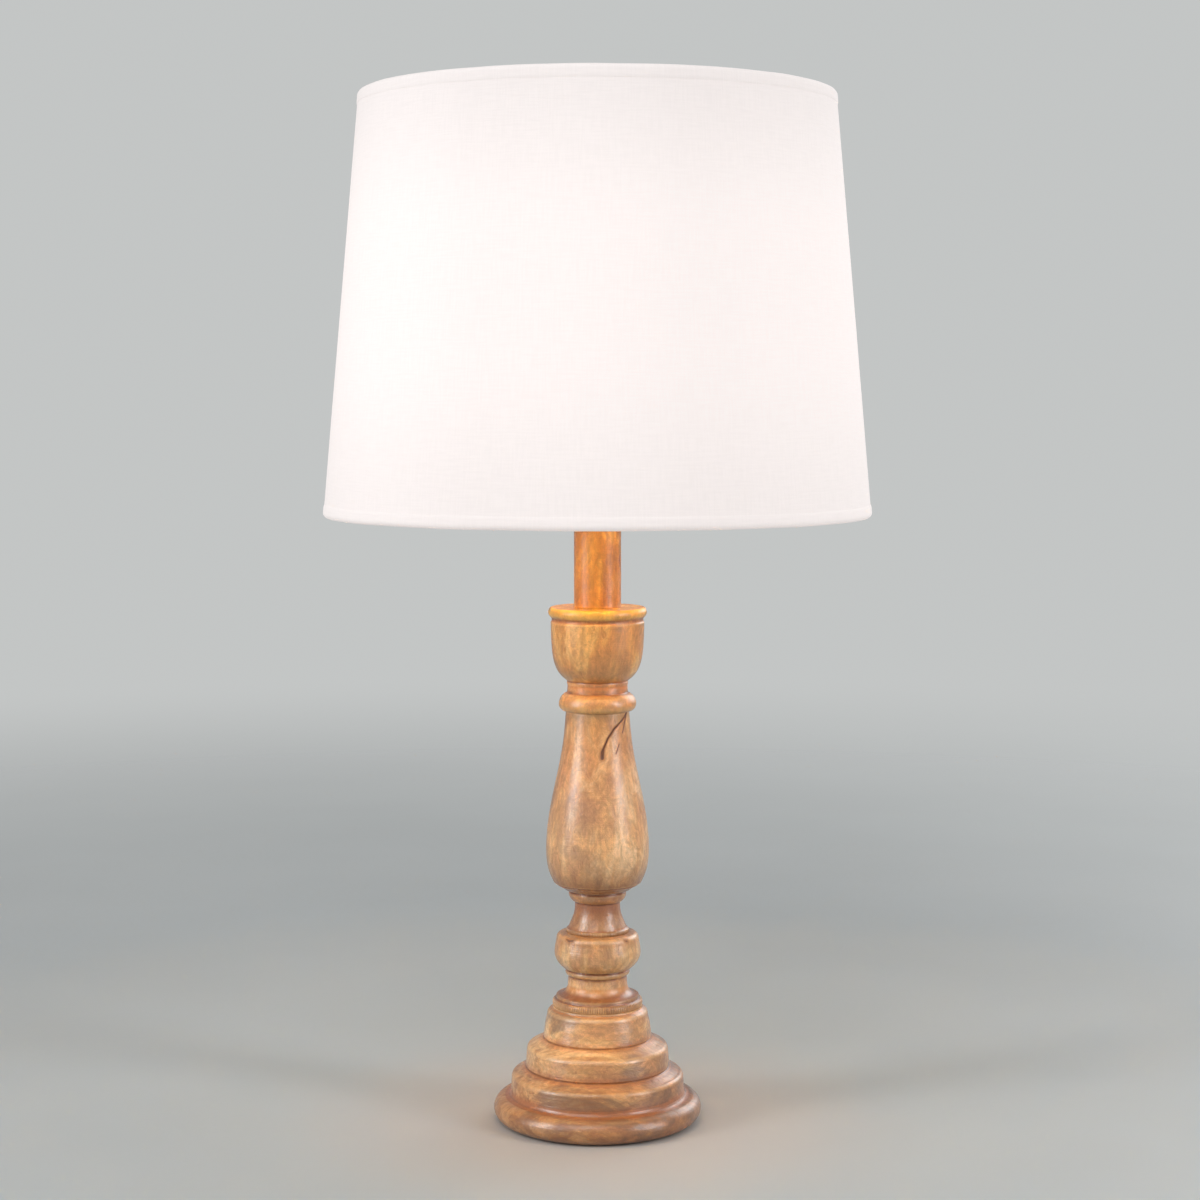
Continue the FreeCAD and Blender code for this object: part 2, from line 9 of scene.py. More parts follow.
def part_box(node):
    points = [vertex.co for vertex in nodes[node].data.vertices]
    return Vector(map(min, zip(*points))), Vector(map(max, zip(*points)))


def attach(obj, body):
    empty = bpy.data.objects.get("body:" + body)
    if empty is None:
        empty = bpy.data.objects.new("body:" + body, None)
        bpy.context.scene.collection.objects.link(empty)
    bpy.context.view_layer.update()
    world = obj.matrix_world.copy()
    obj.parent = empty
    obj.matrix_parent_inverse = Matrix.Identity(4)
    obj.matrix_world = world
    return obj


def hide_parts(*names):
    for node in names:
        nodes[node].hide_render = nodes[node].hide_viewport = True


# Table lamp: finishes for the CAD frame, and finer pieces where the eye rests on them.
# Metres, +Z up, the lamp's front towards -Y. Outlines are given in millimetres.

MM = 0.001
TINY = 1e-6
MERGE_DISTANCE = 1e-7
SMOOTH_ANGLE = math.radians(35)
SHARP_TURN = math.radians(24)
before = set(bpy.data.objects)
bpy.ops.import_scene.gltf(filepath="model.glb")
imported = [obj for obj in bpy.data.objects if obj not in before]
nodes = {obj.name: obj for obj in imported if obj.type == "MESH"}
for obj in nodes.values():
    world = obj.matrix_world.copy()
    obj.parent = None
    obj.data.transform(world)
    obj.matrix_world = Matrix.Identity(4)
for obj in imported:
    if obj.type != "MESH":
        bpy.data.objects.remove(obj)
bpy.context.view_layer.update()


# ---------------------------------------------------------------- measures taken from the frame

def low_z(node):
    """A node's lowest height, in millimetres like the two after it."""
    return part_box(node)[0].z / MM


def high_z(node):
    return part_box(node)[1].z / MM


def widest(node):
    """A round node's outer radius."""
    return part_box(node)[1].x / MM


SHADE_LOW = low_z("bottom_hem")
SHADE_HIGH = high_z("top_hem")
SHADE_LOW_RADIUS = 175.0
SHADE_HIGH_RADIUS = 150.8
CLOTH_THICKNESS = 0.5
LINER_THICKNESS = 0.8
HEM_HEIGHT = 8.0
SEAM_WIDTH = 11.0

COLUMN_BORE = 5.3
FOOT_TOP = 75.5
LOWER_TOP = 124.0
VASE_TOP = 268.2
CUP_TOP = 335.0

E27_PITCH = 3.629
SLEEVE_PITCH = 2.5


# ---------------------------------------------------------------- turned sections

def circle_through(a, b, c):
    """Centre and radius of the circle through three points."""
    (ax, ay), (bx, by), (cx, cy) = a, b, c
    d = 2 * (ax * (by - cy) + bx * (cy - ay) + cx * (ay - by))
    a2, b2, c2 = ax * ax + ay * ay, bx * bx + by * by, cx * cx + cy * cy
    ux = (a2 * (by - cy) + b2 * (cy - ay) + c2 * (ay - by)) / d
    uy = (a2 * (cx - bx) + b2 * (ax - cx) + c2 * (bx - ax)) / d
    return (ux, uy), math.hypot(ax - ux, ay - uy)


def natural_spline(points, step):
    """Points spaced along the natural cubic spline through the given ones, by chord length."""
    p = np.array(points, float)
    h = np.linalg.norm(np.diff(p, axis=0), axis=1)
    t = np.concatenate([[0.0], np.cumsum(h)])
    n = len(p)
    a, b = np.eye(n), np.zeros((n, 2))
    for i in range(1, n - 1):
        a[i, i - 1], a[i, i], a[i, i + 1] = h[i - 1], 2 * (h[i - 1] + h[i]), h[i]
        b[i] = 6 * ((p[i + 1] - p[i]) / h[i] - (p[i] - p[i - 1]) / h[i - 1])
    m = np.linalg.solve(a, b)
    out = []
    for s in np.linspace(0, t[-1], max(4, int(t[-1] / step)))[1:]:
        i = min(n - 2, int(np.searchsorted(t, s, side="left")) - 1)
        u, v = t[i + 1] - s, s - t[i]
        bend = (m[i] * u ** 3 + m[i + 1] * v ** 3) / (6 * h[i])
        left = (p[i] / h[i] - m[i] * h[i] / 6) * u
        right = (p[i + 1] / h[i] - m[i + 1] * h[i] / 6) * v
        out.append(tuple(bend + left + right))
    return out


class Section:
    """A turned section in millimetres, as (radius, height) points from lines, arcs and splines."""

    def __init__(self, radius, height, step=1.0):
        self.points = [(radius, height)]
        self.step = step

    def line(self, *ends):
        for end in ends:
            start = self.points[-1]
            count = max(1, int(math.dist(start, end) / self.step))
            for i in range(1, count + 1):
                share = i / count
                self.points.append(tuple(a + (b - a) * share for a, b in zip(start, end)))
        return self

    def arc(self, middle, end):
        start = self.points[-1]
        (cx, cy), radius = circle_through(start, middle, end)
        first, mid, last = (math.atan2(y - cy, x - cx) for x, y in (start, middle, end))
        sweep = (last - first) % (2 * math.pi)
        if (mid - first) % (2 * math.pi) > sweep:
            sweep -= 2 * math.pi
        count = max(6, int(abs(sweep) * radius / self.step))
        for i in range(1, count + 1):
            angle = first + sweep * i / count
            self.points.append((cx + radius * math.cos(angle), cy + radius * math.sin(angle)))
        return self

    def curve(self, *points):
        self.points += natural_spline([self.points[-1], *points], self.step)
        return self


def ease_corners(points, radius):
    """A closed outline with each sharp corner cut by a short rounded stretch."""
    out = []
    count = len(points)
    for i, here in enumerate(points):
        before, after = points[i - 1], points[(i + 1) % count]
        a, b = np.subtract(here, before), np.subtract(after, here)
        la, lb = np.hypot(*a), np.hypot(*b)
        if la < TINY or lb < TINY:
            continue
        turn = abs(math.atan2(a[0] * b[1] - a[1] * b[0], a @ b))
        if turn < SHARP_TURN or here[0] < TINY:
            out.append(here)
            continue
        reach = min(radius, 0.45 * la, 0.45 * lb)
        start, end = here - a / la * reach, here + b / lb * reach
        middle = (start + 2 * np.array(here) + end) / 4
        out += [tuple(start), tuple(middle), tuple(end)]
    return out


def relief_of(points, reach):
    """How far each point of a closed outline stands out of its surroundings, below 0 where it is hollow."""
    p = np.array(points + points[:1], float)
    lengths = np.concatenate([[0.0], np.cumsum(np.linalg.norm(np.diff(p, axis=0), axis=1))])
    total = lengths[-1]

    def at(s):
        s = s % total
        return np.array([np.interp(s, lengths, p[:, 0]), np.interp(s, lengths, p[:, 1])])

    area = sum(p[i][0] * p[i + 1][1] - p[i + 1][0] * p[i][1] for i in range(len(points)))
    side = 1.0 if area > 0 else -1.0
    out = []
    for i in range(len(points)):
        back, ahead = at(lengths[i] - reach), at(lengths[i] + reach)
        along = ahead - back
        normal = np.array([along[1], -along[0]]) * side / max(np.hypot(*along), 1e-9)
        out.append(float((p[i] - (back + ahead) / 2) @ normal) / reach)
    return out


def placed(name, data):
    """A new object in the scene for a mesh, a light or a camera."""
    obj = bpy.data.objects.new(name, data)
    bpy.context.scene.collection.objects.link(obj)
    return obj


def new_object(name, vertices, faces):
    """A mesh object from metre coordinates, smooth but for its sharp edges."""
    mesh = bpy.data.meshes.new(name)
    mesh.from_pydata(vertices, [], faces)
    mesh.validate()
    mesh.update()
    mesh.shade_smooth()
    mesh.set_sharp_from_angle(angle=SMOOTH_ANGLE)
    return placed(name, mesh)


def face_outward(obj, merge=0.0):
    """Turns a closed mesh's faces outward, and first merges the vertices closer together than merge."""
    shell = bmesh.new()
    shell.from_mesh(obj.data)
    if merge:
        bmesh.ops.remove_doubles(shell, verts=shell.verts, dist=merge)
    bmesh.ops.recalc_face_normals(shell, faces=shell.faces)
    shell.to_mesh(obj.data)
    shell.free()


def turned(name, section, segments=240, ease=0.35, shift=None):
    """A closed section turned about the axis. shift(radius, height, angle) gives an extra radius and height.
    Each vertex keeps its relief over a short and a long reach, which the wood finish reads."""
    short_reach, long_reach = 1.6, 6.0
    points = ease_corners(section.points, ease) if ease else list(section.points)
    reliefs = {"relief": relief_of(points, short_reach), "hollow": relief_of(points, long_reach)}
    count = len(points)
    vertices = []
    for k in range(segments):
        angle = 2 * math.pi * k / segments
        c, s = math.cos(angle), math.sin(angle)
        for radius, height in points:
            if shift and radius > TINY:
                extra = shift(radius, height, angle)
                radius, height = radius + extra[0], height + extra[1]
            vertices.append((radius * c * MM, radius * s * MM, height * MM))
    faces = []
    for k in range(segments):
        here, there = k * count, (k + 1) % segments * count
        for i in range(count):
            j = (i + 1) % count
            if points[i][0] < TINY and points[j][0] < TINY:
                continue
            faces.append((here + i, there + i, there + j, here + j))
    obj = new_object(name, vertices, faces)
    for key, values in reliefs.items():
        store = obj.data.attributes.new(key, "FLOAT", "POINT")
        store.data.foreach_set("value", np.tile(np.array(values, np.float32), segments))
    face_outward(obj, MERGE_DISTANCE)
    obj.data.set_sharp_from_angle(angle=SMOOTH_ANGLE)
    return obj


def settle(obj, body, material, slot, *stands_for):
    """Gives a piece its finish and its body, and hides the CAD nodes that it stands for."""
    obj.data.materials.clear()
    obj.data.materials.append(material)
    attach(obj, body)
    if stands_for:
        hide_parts(*stands_for)


# ---------------------------------------------------------------- node trees

class Finish:
    """A material whose node tree is written as calls. A socket is set to a value or linked to an output."""

    def __init__(self, name):
        self.material = bpy.data.materials.new(name)
        self.material.use_nodes = True
        self.tree = self.material.node_tree
        self.shader = self.tree.nodes["Principled BSDF"]
        self.place = self.add("ShaderNodeTexCoord").outputs["Object"]

    def add(self, kind, *inputs, **settings):
        node = self.tree.nodes.new(kind)
        for key, value in settings.items():
            setattr(node, key, value)
        for index, value in enumerate(inputs):
            self.put(node.inputs[index], value)
        return node

    def put(self, socket, value):
        if isinstance(value, bpy.types.NodeSocket):
            self.tree.links.new(value, socket)
        else:
            socket.default_value = value

    def set(self, **values):
        """Sets or links the shader's sockets; an underscore in a name stands for a space."""
        for key, value in values.items():
            self.put(self.shader.inputs[key.replace("_", " ")], value)

    def math(self, operation, a, b=0.0):
        return self.add("ShaderNodeMath", a, b, operation=operation).outputs[0]

    def scaled(self, vector, scale):
        node = self.add("ShaderNodeVectorMath", vector, operation="MULTIPLY")
        node.inputs[1].default_value = scale
        return node.outputs[0]

    def noise(self, vector, scale=1.0, detail=2.0, roughness=0.5, distortion=0.0):
        node = self.add("ShaderNodeTexNoise")
        self.put(node.inputs["Vector"], vector)
        node.inputs["Scale"].default_value = scale
        node.inputs["Detail"].default_value = detail
        node.inputs["Roughness"].default_value = roughness
        node.inputs["Distortion"].default_value = distortion
        return node.outputs[0]

    def ramp(self, value, *stops):
        node = self.add("ShaderNodeValToRGB", value)
        elements = node.color_ramp.elements
        while len(elements) < len(stops):
            elements.new(0.5)
        for element, (position, colour) in zip(elements, stops):
            element.position = position
            element.color = (*colour, 1.0)
        return node.outputs[0]

    def step(self, value, low, high, start=0.0, end=1.0):
        """A smooth step from start to end as the value goes from low to high."""
        node = self.add("ShaderNodeMapRange", value, interpolation_type="SMOOTHSTEP")
        node.inputs["From Min"].default_value = low
        node.inputs["From Max"].default_value = high
        node.inputs["To Min"].default_value = start
        node.inputs["To Max"].default_value = end
        return node.outputs[0]

    def step_linear(self, value, low, high):
        node = self.add("ShaderNodeMapRange", value)
        node.inputs["From Min"].default_value = low
        node.inputs["From Max"].default_value = high
        return node.outputs[0]

    def mix(self, share, a, b, blend="MIX"):
        node = self.add("ShaderNodeMix", data_type="RGBA", blend_type=blend)
        self.put(node.inputs[0], share)
        self.put(node.inputs[6], (*a, 1.0) if isinstance(a, tuple) else a)
        self.put(node.inputs[7], (*b, 1.0) if isinstance(b, tuple) else b)
        return node.outputs[2]

    def shade_of(self, colour, factor):
        """A colour multiplied by a number."""
        node = self.add("ShaderNodeVectorMath", operation="SCALE")
        self.put(node.inputs[0], colour)
        self.put(node.inputs["Scale"], factor)
        return node.outputs[0]

    def bump(self, height, strength, distance):
        node = self.add("ShaderNodeBump")
        node.inputs["Strength"].default_value = strength
        node.inputs["Distance"].default_value = distance
        self.put(node.inputs["Height"], height)
        return node.outputs[0]

    def attribute(self, name):
        return self.add("ShaderNodeAttribute", attribute_name=name).outputs["Fac"]

    def axes(self, vector):
        return self.add("ShaderNodeSeparateXYZ", vector).outputs

    def around(self):
        """Distance round the axis at the shade's mean radius, and height, both in metres."""
        x, y, z = self.axes(self.place)
        angle = self.math("ARCTAN2", y, x)
        return self.math("MULTIPLY", angle, (SHADE_LOW_RADIUS + SHADE_HIGH_RADIUS) / 2 * MM), z


# ---------------------------------------------------------------- finishes

CREAM = (0.78, 0.50, 0.265)
GOLD = (0.64, 0.350, 0.145)
ROSE = (0.56, 0.280, 0.125)
TAN = (0.46, 0.235, 0.100)
RUST = (0.33, 0.140, 0.055)
GREY_STAIN = (0.215, 0.122, 0.074)
# Painted light and shade for the wood: shade in broad hollows, a highlight on crests, shade in crevices and
# darker shade at the bottom of the crevices.
HOLLOW_SHADE_TINT = (0.76, 0.42, 0.23)
CREST_HIGHLIGHT = (0.84, 0.54, 0.28)
CREVICE_SHADE = (0.50, 0.185, 0.045)
DEEP_CREVICE_SHADE = (0.150, 0.045, 0.012)
CRACK_EDGE_AND_NOTCH_SHADE = (0.36, 0.135, 0.045)
CRACK_DARK = (0.130, 0.042, 0.016)


def mango_wood(name, pith, tones_and_light, turn=(0.0, 0.0, 0.0), stain=0.3, seed=0.0, drift=(0.0, 0.0)):
    """Turned mango wood under satin varnish. Its grain runs along Z after the turn, rings about the pith.
    tones_and_light are (height in millimetres, tint) pairs: the wood's tone up a piece, with painted light
    and shade in bands by height, and the bulb's orange glow painted on the cup and tube.
    drift is how much paler and how much more stained the wood gets per metre towards +X."""
    ring_spacing, ring_wander = 0.0048, 0.030
    brightest = 1.5
    f = Finish(name)
    mapping = f.add("ShaderNodeMapping", f.place)
    mapping.inputs["Rotation"].default_value = turn
    mapping.inputs["Location"].default_value = (seed, 1.7 * seed, -0.6 * seed)
    grain = mapping.outputs[0]

    across = f.axes(f.place)[0]
    broad = f.noise(f.scaled(grain, (1.0, 1.0, 0.40)), 46.0, 4.0, 0.62, 1.3)
    broad = f.math("ADD", broad, f.math("MULTIPLY", across, drift[0]))
    colour = f.ramp(broad, (0.30, TAN), (0.41, ROSE), (0.53, GOLD), (0.64, CREAM), (0.76, GOLD))

    warp = f.noise(f.scaled(grain, (1.0, 1.0, 0.45)), 38.0, 3.0)
    x, y = f.axes(grain)[:2]
    dx = f.math("SUBTRACT", x, pith[0] + seed)
    dy = f.math("SUBTRACT", y, pith[1] + 1.7 * seed)
    from_pith = f.math("SQRT", f.math("ADD", f.math("MULTIPLY", dx, dx), f.math("MULTIPLY", dy, dy)))
    wavy = f.math("ADD", from_pith, f.math("MULTIPLY", warp, ring_wander))
    rings = f.math("SINE", f.math("MULTIPLY", wavy, 2 * math.pi / ring_spacing))
    colour = f.shade_of(colour, f.step(rings, -1.0, 0.9, 0.93, 1.03))

    curl = f.noise(f.scaled(grain, (1.0, 1.0, 0.65)), 130.0, 5.0, 0.68, 2.6)
    colour = f.shade_of(colour, f.step(curl, 0.36, 0.64, 0.84, 1.10))

    figure = f.noise(f.scaled(grain, (1.0, 1.0, 0.80)), 105.0, 3.0, 0.62, 3.2)
    figure = f.step(f.math("ABSOLUTE", f.math("SUBTRACT", figure, 0.5)), 0.040, 0.004)
    colour = f.shade_of(colour, f.math("ADD", f.math("MULTIPLY", figure, 0.16), 0.97))

    fibres = f.noise(f.scaled(grain, (1.0, 1.0, 0.16)), 760.0, 2.0, 0.6)
    colour = f.shade_of(colour, f.step(fibres, 0.3, 0.7, 0.96, 1.04))

    stains = f.noise(f.scaled(grain, (1.0, 1.0, 0.50)), 34.0, 5.0, 0.62, 0.8)
    stains = f.math("ADD", stains, f.math("MULTIPLY", across, drift[1]))
    stained = f.math("MULTIPLY", f.step(stains, 0.50, 0.60), stain)
    colour = f.mix(stained, colour, GREY_STAIN)
    scorch = f.noise(f.scaled(grain, (1.0, 1.0, 0.40)), 55.0, 4.0, 0.6, 1.2)
    colour = f.mix(f.math("MULTIPLY", f.step(scorch, 0.53, 0.64), 0.15 + 0.7 * stain), colour, RUST)

    pores = f.noise(f.scaled(grain, (1.0, 1.0, 0.18)), 620.0, 1.0, 0.5)
    pore = f.step(pores, 0.66, 0.72)
    flecks = f.noise(f.scaled(grain, (1.0, 1.0, 0.35)), 230.0, 1.0, 0.5, 0.5)
    fleck = f.step(flecks, 0.70, 0.75)
    dark = f.math("MAXIMUM", f.math("MULTIPLY", pore, 0.12), f.math("MULTIPLY", fleck, 0.45))
    colour = f.mix(dark, colour, RUST)

    relief = f.attribute("relief")
    crevice_shade = f.step(relief, -0.005, -0.10)
    deepest_shade = f.step(relief, -0.16, -0.36)
    crest = f.step(relief, 0.06, 0.26)
    broken = f.step(f.noise(f.place, 240.0, 3.0, 0.6), 0.35, 0.6, 0.5, 1.0)
    # Painted shade: broad hollows such as the coves are darkened and reddened.
    cove = f.step(f.attribute("hollow"), -0.04, -0.30)
    colour = f.mix(f.math("MULTIPLY", cove, 0.50), colour, f.mix(1.0, colour, HOLLOW_SHADE_TINT, "MULTIPLY"))
    # Painted shade in the crevices, darker still at their bottoms.
    colour = f.mix(f.math("MULTIPLY", crevice_shade, f.math("MULTIPLY", broken, 0.85)), colour, CREVICE_SHADE)
    colour = f.mix(f.math("MULTIPLY", deepest_shade, f.math("MULTIPLY", broken, 0.62)), colour, DEEP_CREVICE_SHADE)
    # Painted highlight along the crests of the turned edges.
    colour = f.mix(f.math("MULTIPLY", crest, f.math("MULTIPLY", broken, 0.45)), colour, CREST_HIGHLIGHT)

    low, high = tones_and_light[0][0], tones_and_light[-1][0]
    height = f.step_linear(f.axes(f.place)[2], low * MM, high * MM)
    stops = [((at - low) / (high - low), tuple(part / brightest for part in tint)) for at, tint in tones_and_light]
    colour = f.mix(1.0, f.shade_of(colour, brightest), f.ramp(height, *stops), "MULTIPLY")

    crack_and_notch_shade = f.attribute("crack_and_notch_shade")
    # Cracks get a brown edge and a dark core; the rouletted notches get the edge colour as painted shade.
    colour = f.mix(f.math("MULTIPLY", f.step(crack_and_notch_shade, 0.0, 0.5), 0.70), colour, CRACK_EDGE_AND_NOTCH_SHADE)
    colour = f.mix(f.step(crack_and_notch_shade, 0.50, 0.72), colour, CRACK_DARK)

    rough = f.math("ADD", f.step(curl, 0.3, 0.7, 0.56, 0.44), f.math("MULTIPLY", dark, 0.2))
    turning = f.noise(f.scaled(f.place, (9.0, 9.0, 1500.0)), 1.0, 2.0)
    waves = f.math("ADD", f.math("MULTIPLY", curl, 1.5), turning)
    height = f.math("SUBTRACT", f.math("MULTIPLY", fibres, 0.25), f.math("MULTIPLY", dark, 0.5))
    height = f.math("ADD", height, f.math("MULTIPLY", waves, 0.30))
    height = f.math("ADD", height, f.math("MULTIPLY", figure, 0.05))
    surface = f.bump(height, 0.9, 0.0005)
    f.set(Base_Color=colour, Roughness=rough, Normal=surface, Coat_Normal=surface)
    f.set(Coat_Weight=f.step(crack_and_notch_shade, 0.2, 0.6, 1.0, 0.1), Coat_Roughness=0.22, Coat_IOR=1.65)
    return f.material


def shade_cloth():
    """Off-white plain weave on a laminated shade: slubbed threads, and the light from within painted on as
    an even glow.
    """
    thread_spacing, glow_strength = 0.00085, 0.53
    f = Finish("shade_weave")
    u, v = f.around()
    thread = 2 * math.pi / thread_spacing
    warp = f.math("SINE", f.math("MULTIPLY", u, thread))
    weft = f.math("SINE", f.math("MULTIPLY", v, thread))
    weave = f.math("MULTIPLY", warp, weft)
    flat = f.add("ShaderNodeCombineXYZ", u, v)
    slub_across = f.noise(f.scaled(flat.outputs[0], (60.0, 900.0, 1.0)), 1.0, 2.0, 0.6)
    slub_up = f.noise(f.scaled(flat.outputs[0], (900.0, 60.0, 1.0)), 1.0, 2.0, 0.6)
    slubs = f.math("ADD", slub_across, slub_up)
    tint = f.step(slubs, 0.75, 1.25, 0.968, 1.0)
    colour = f.shade_of((0.50, 0.488, 0.490), tint)
    height = f.math("ADD", f.math("MULTIPLY", weave, 0.25), slubs)
    f.set(Base_Color=colour, Roughness=0.88, Normal=f.bump(height, 0.35, 0.0002))
    f.set(Sheen_Weight=0.15, Sheen_Roughness=0.5)
    # The emission is painted light: the bulb's light through the cloth, brightest at mid-height and dimmer
    # towards both rims.
    glow_rise = f.step(v, SHADE_LOW * MM - 0.02, SHADE_LOW * MM + 0.11, 0.84, 1.0)
    glow_fall = f.step(v, SHADE_HIGH * MM - 0.10, SHADE_HIGH * MM + 0.02, 1.0, 0.76)
    glow = f.math("MULTIPLY", f.math("MULTIPLY", glow_rise, glow_fall), tint)
    f.set(Emission_Color=f.shade_of((1.0, 0.865, 0.815), glow), Emission_Strength=glow_strength)
    return f.material


def liner_plastic():
    """White laminate inside the shade, lit by the bulb."""
    f = Finish("shade_liner_sheet")
    mottle = f.noise(f.place, 60.0, 3.0)
    f.set(Base_Color=f.shade_of((0.86, 0.80, 0.74), f.step(mottle, 0.3, 0.7, 0.97, 1.0)))
    f.set(Roughness=f.step(mottle, 0.3, 0.7, 0.42, 0.55), Normal=f.bump(mottle, 0.15, 0.0004))
    return f.material


def felt():
    f = Finish("felt_brown")
    fuzz = f.noise(f.place, 1400.0, 4.0, 0.7)
    colour = f.ramp(fuzz, (0.3, (0.035, 0.020, 0.012)), (0.7, (0.085, 0.050, 0.030)))
    f.set(Base_Color=colour, Roughness=0.95, Sheen_Weight=0.4, Normal=f.bump(fuzz, 0.7, 0.0006))
    return f.material


def plastic(name, colour, roughness=0.42, grit=1200.0):
    """Moulded plastic with a fine spark-eroded grain."""
    f = Finish(name)
    grain = f.noise(f.place, grit, 3.0, 0.6)
    cloud = f.noise(f.place, 40.0, 2.0)
    f.set(Base_Color=f.shade_of(colour, f.step(cloud, 0.3, 0.7, 0.95, 1.03)))
    f.set(Roughness=f.step(grain, 0.3, 0.7, roughness - 0.05, roughness + 0.08))
    f.set(Normal=f.bump(grain, 0.25, 0.00012))
    return f.material


def metal(name, colour, roughness=0.25):
    """Plated metal with fine turning marks and a little tarnish."""
    f = Finish(name)
    marks = f.noise(f.scaled(f.place, (90.0, 90.0, 1600.0)), 1.0, 3.0, 0.6)
    tarnish = f.noise(f.place, 160.0, 4.0, 0.6)
    f.set(Base_Color=f.shade_of(colour, f.step(tarnish, 0.35, 0.75, 1.0, 0.80)), Metallic=1.0)
    f.set(Roughness=f.step(marks, 0.3, 0.7, roughness, roughness + 0.16))
    f.set(Normal=f.bump(marks, 0.2, 0.00008))
    return f.material


def white_coat():
    """Epoxy-coated wire: near-white, with the faint orange peel of powder coat."""
    f = Finish("white_epoxy")
    peel = f.noise(f.place, 420.0, 2.0)
    f.set(Base_Color=f.shade_of((0.80, 0.80, 0.78), f.step(peel, 0.3, 0.7, 0.97, 1.0)))
    f.set(Roughness=f.step(peel, 0.3, 0.7, 0.30, 0.40), Normal=f.bump(peel, 0.2, 0.0002))
    return f.material


def lit(name, colour, strength, surface=(0.9, 0.88, 0.84)):
    """A glowing frosted surface, a little brighter where the noise is high."""
    f = Finish(name)
    frost = f.noise(f.place, 900.0, 3.0)
    glow = f.shade_of(colour, f.step(frost, 0.3, 0.7, 0.94, 1.0))
    f.set(Base_Color=f.shade_of(surface, f.step(frost, 0.3, 0.7, 0.97, 1.0)), Roughness=0.45)
    f.set(Emission_Color=glow, Emission_Strength=strength, Normal=f.bump(frost, 0.1, 0.0001))
    return f.material


# ---------------------------------------------------------------- camera, floor and light

def make_camera():
    """Level with the shade's lower half and tipped down a little, with a long lens."""
    lens, aside, height, distance, tilt = 73.83, 0.0016, 0.473, 1.574, 4.85
    data = bpy.data.cameras.new("camera")
    data.lens, data.sensor_width = lens, 36.0
    camera = placed("camera", data)
    camera.location = (aside, -distance, height)
    camera.rotation_euler = (math.radians(90 - tilt), 0.0, 0.0)
    bpy.context.scene.camera = camera


def make_floor():
    """A pale round floor with a painted pool of the bulb's light near the lamp, that fades into the
    background far from it.
    """
    reach, fade_from, fade_to = 4.0, 0.5, 2.5
    painted_warm_pool, cool, far = (0.462, 0.432, 0.408), (0.405, 0.442, 0.458), (0.450, 0.468, 0.468)
    rings, spokes = 24, 96
    vertices, faces = [(0.0, 0.0, 0.0)], []
    for i in range(1, rings + 1):
        radius = reach * (i / rings) ** 2
        for k in range(spokes):
            angle = 2 * math.pi * k / spokes
            vertices.append((radius * math.cos(angle), radius * math.sin(angle), 0.0))
    for k in range(spokes):
        after = (k + 1) % spokes
        faces.append((0, 1 + k, 1 + after))
        for i in range(rings - 1):
            low, high = 1 + i * spokes, 1 + (i + 1) * spokes
            faces.append((low + k, high + k, high + after, low + after))
    floor = new_object("floor", vertices, faces)
    f = Finish("pale_floor")
    cloud = f.noise(f.place, 3.0, 3.0)
    distance = f.add("ShaderNodeVectorMath", f.place, operation="LENGTH").outputs["Value"]
    # Painted light: the floor is tinted orange near the lamp for the bulb's light falling there.
    colour = f.mix(f.step(distance, 0.05, 0.23), painted_warm_pool, cool)
    colour = f.mix(f.step(distance, 0.25, 0.90), colour, far)
    f.set(Base_Color=f.shade_of(colour, f.step(cloud, 0.3, 0.7, 0.97, 1.02)), Roughness=0.6)
    clear = f.add("ShaderNodeBsdfTransparent")
    join = f.add("ShaderNodeMixShader", f.step(distance, fade_from, fade_to))
    f.tree.links.new(f.shader.outputs[0], join.inputs[1])
    f.tree.links.new(clear.outputs[0], join.inputs[2])
    f.tree.links.new(join.outputs[0], f.tree.nodes["Material Output"].inputs["Surface"])
    floor.data.materials.append(f.material)


def softbox(name, azimuth, distance, height, size, power):
    """A soft light aimed at the middle of the column. Azimuth is from the camera's side, towards +X."""
    data = bpy.data.lights.new(name, "AREA")
    data.shape, data.size, data.size_y = "RECTANGLE", *size
    data.energy = power
    light = placed(name, data)
    angle = math.radians(azimuth)
    light.location = (distance * math.sin(angle), -distance * math.cos(angle), height)
    aim = Vector((0.0, 0.0, 0.25)) - light.location
    light.rotation_euler = aim.to_track_quat("-Z", "Y").to_euler()


def make_light():
    """Grey studio walls, a tall softbox either side of the camera, a broad one above and one behind."""
    world = bpy.data.worlds.new("studio")
    world.use_nodes = True
    tree = world.node_tree
    background = tree.nodes["Background"]
    seen = tree.nodes.new("ShaderNodeLightPath").outputs["Is Camera Ray"]
    wall = tree.nodes.new("ShaderNodeMix")
    wall.data_type = "RGBA"
    as_light, as_seen = (0.300, 0.310, 0.315, 1.0), (0.548, 0.562, 0.558, 1.0)
    wall.inputs[6].default_value = as_light
    wall.inputs[7].default_value = as_seen
    tree.links.new(seen, wall.inputs[0])
    tree.links.new(wall.outputs[2], background.inputs["Color"])
    scene = bpy.context.scene
    scene.world = world
    scene.view_settings.view_transform = "Standard"
    softbox("left_softbox", -66, 2.4, 1.14, (0.62, 1.75), 35.0)
    softbox("right_softbox", 62, 2.4, 1.14, (0.55, 1.75), 31.0)
    softbox("top_softbox", -20, 1.5, 1.9, (1.2, 1.2), 13.0)
    softbox("back_softbox", 140, 2.6, 1.3, (1.6, 1.6), 24.0)


# ---------------------------------------------------------------- column

TICKS = 120
NOTCH_DEPTH = 0.45
NOTCH_SHADE = 0.42
FRONT = -math.pi / 2


def notch(band, radius, height, angle):
    """How far into a rouletted notch a point is, from 0 to 1; band is the bead's (low, high)."""
    inside = band[0] < height < band[1] and radius > COLUMN_BORE + 5
    return max(0.0, math.cos(TICKS * angle)) if inside else 0.0


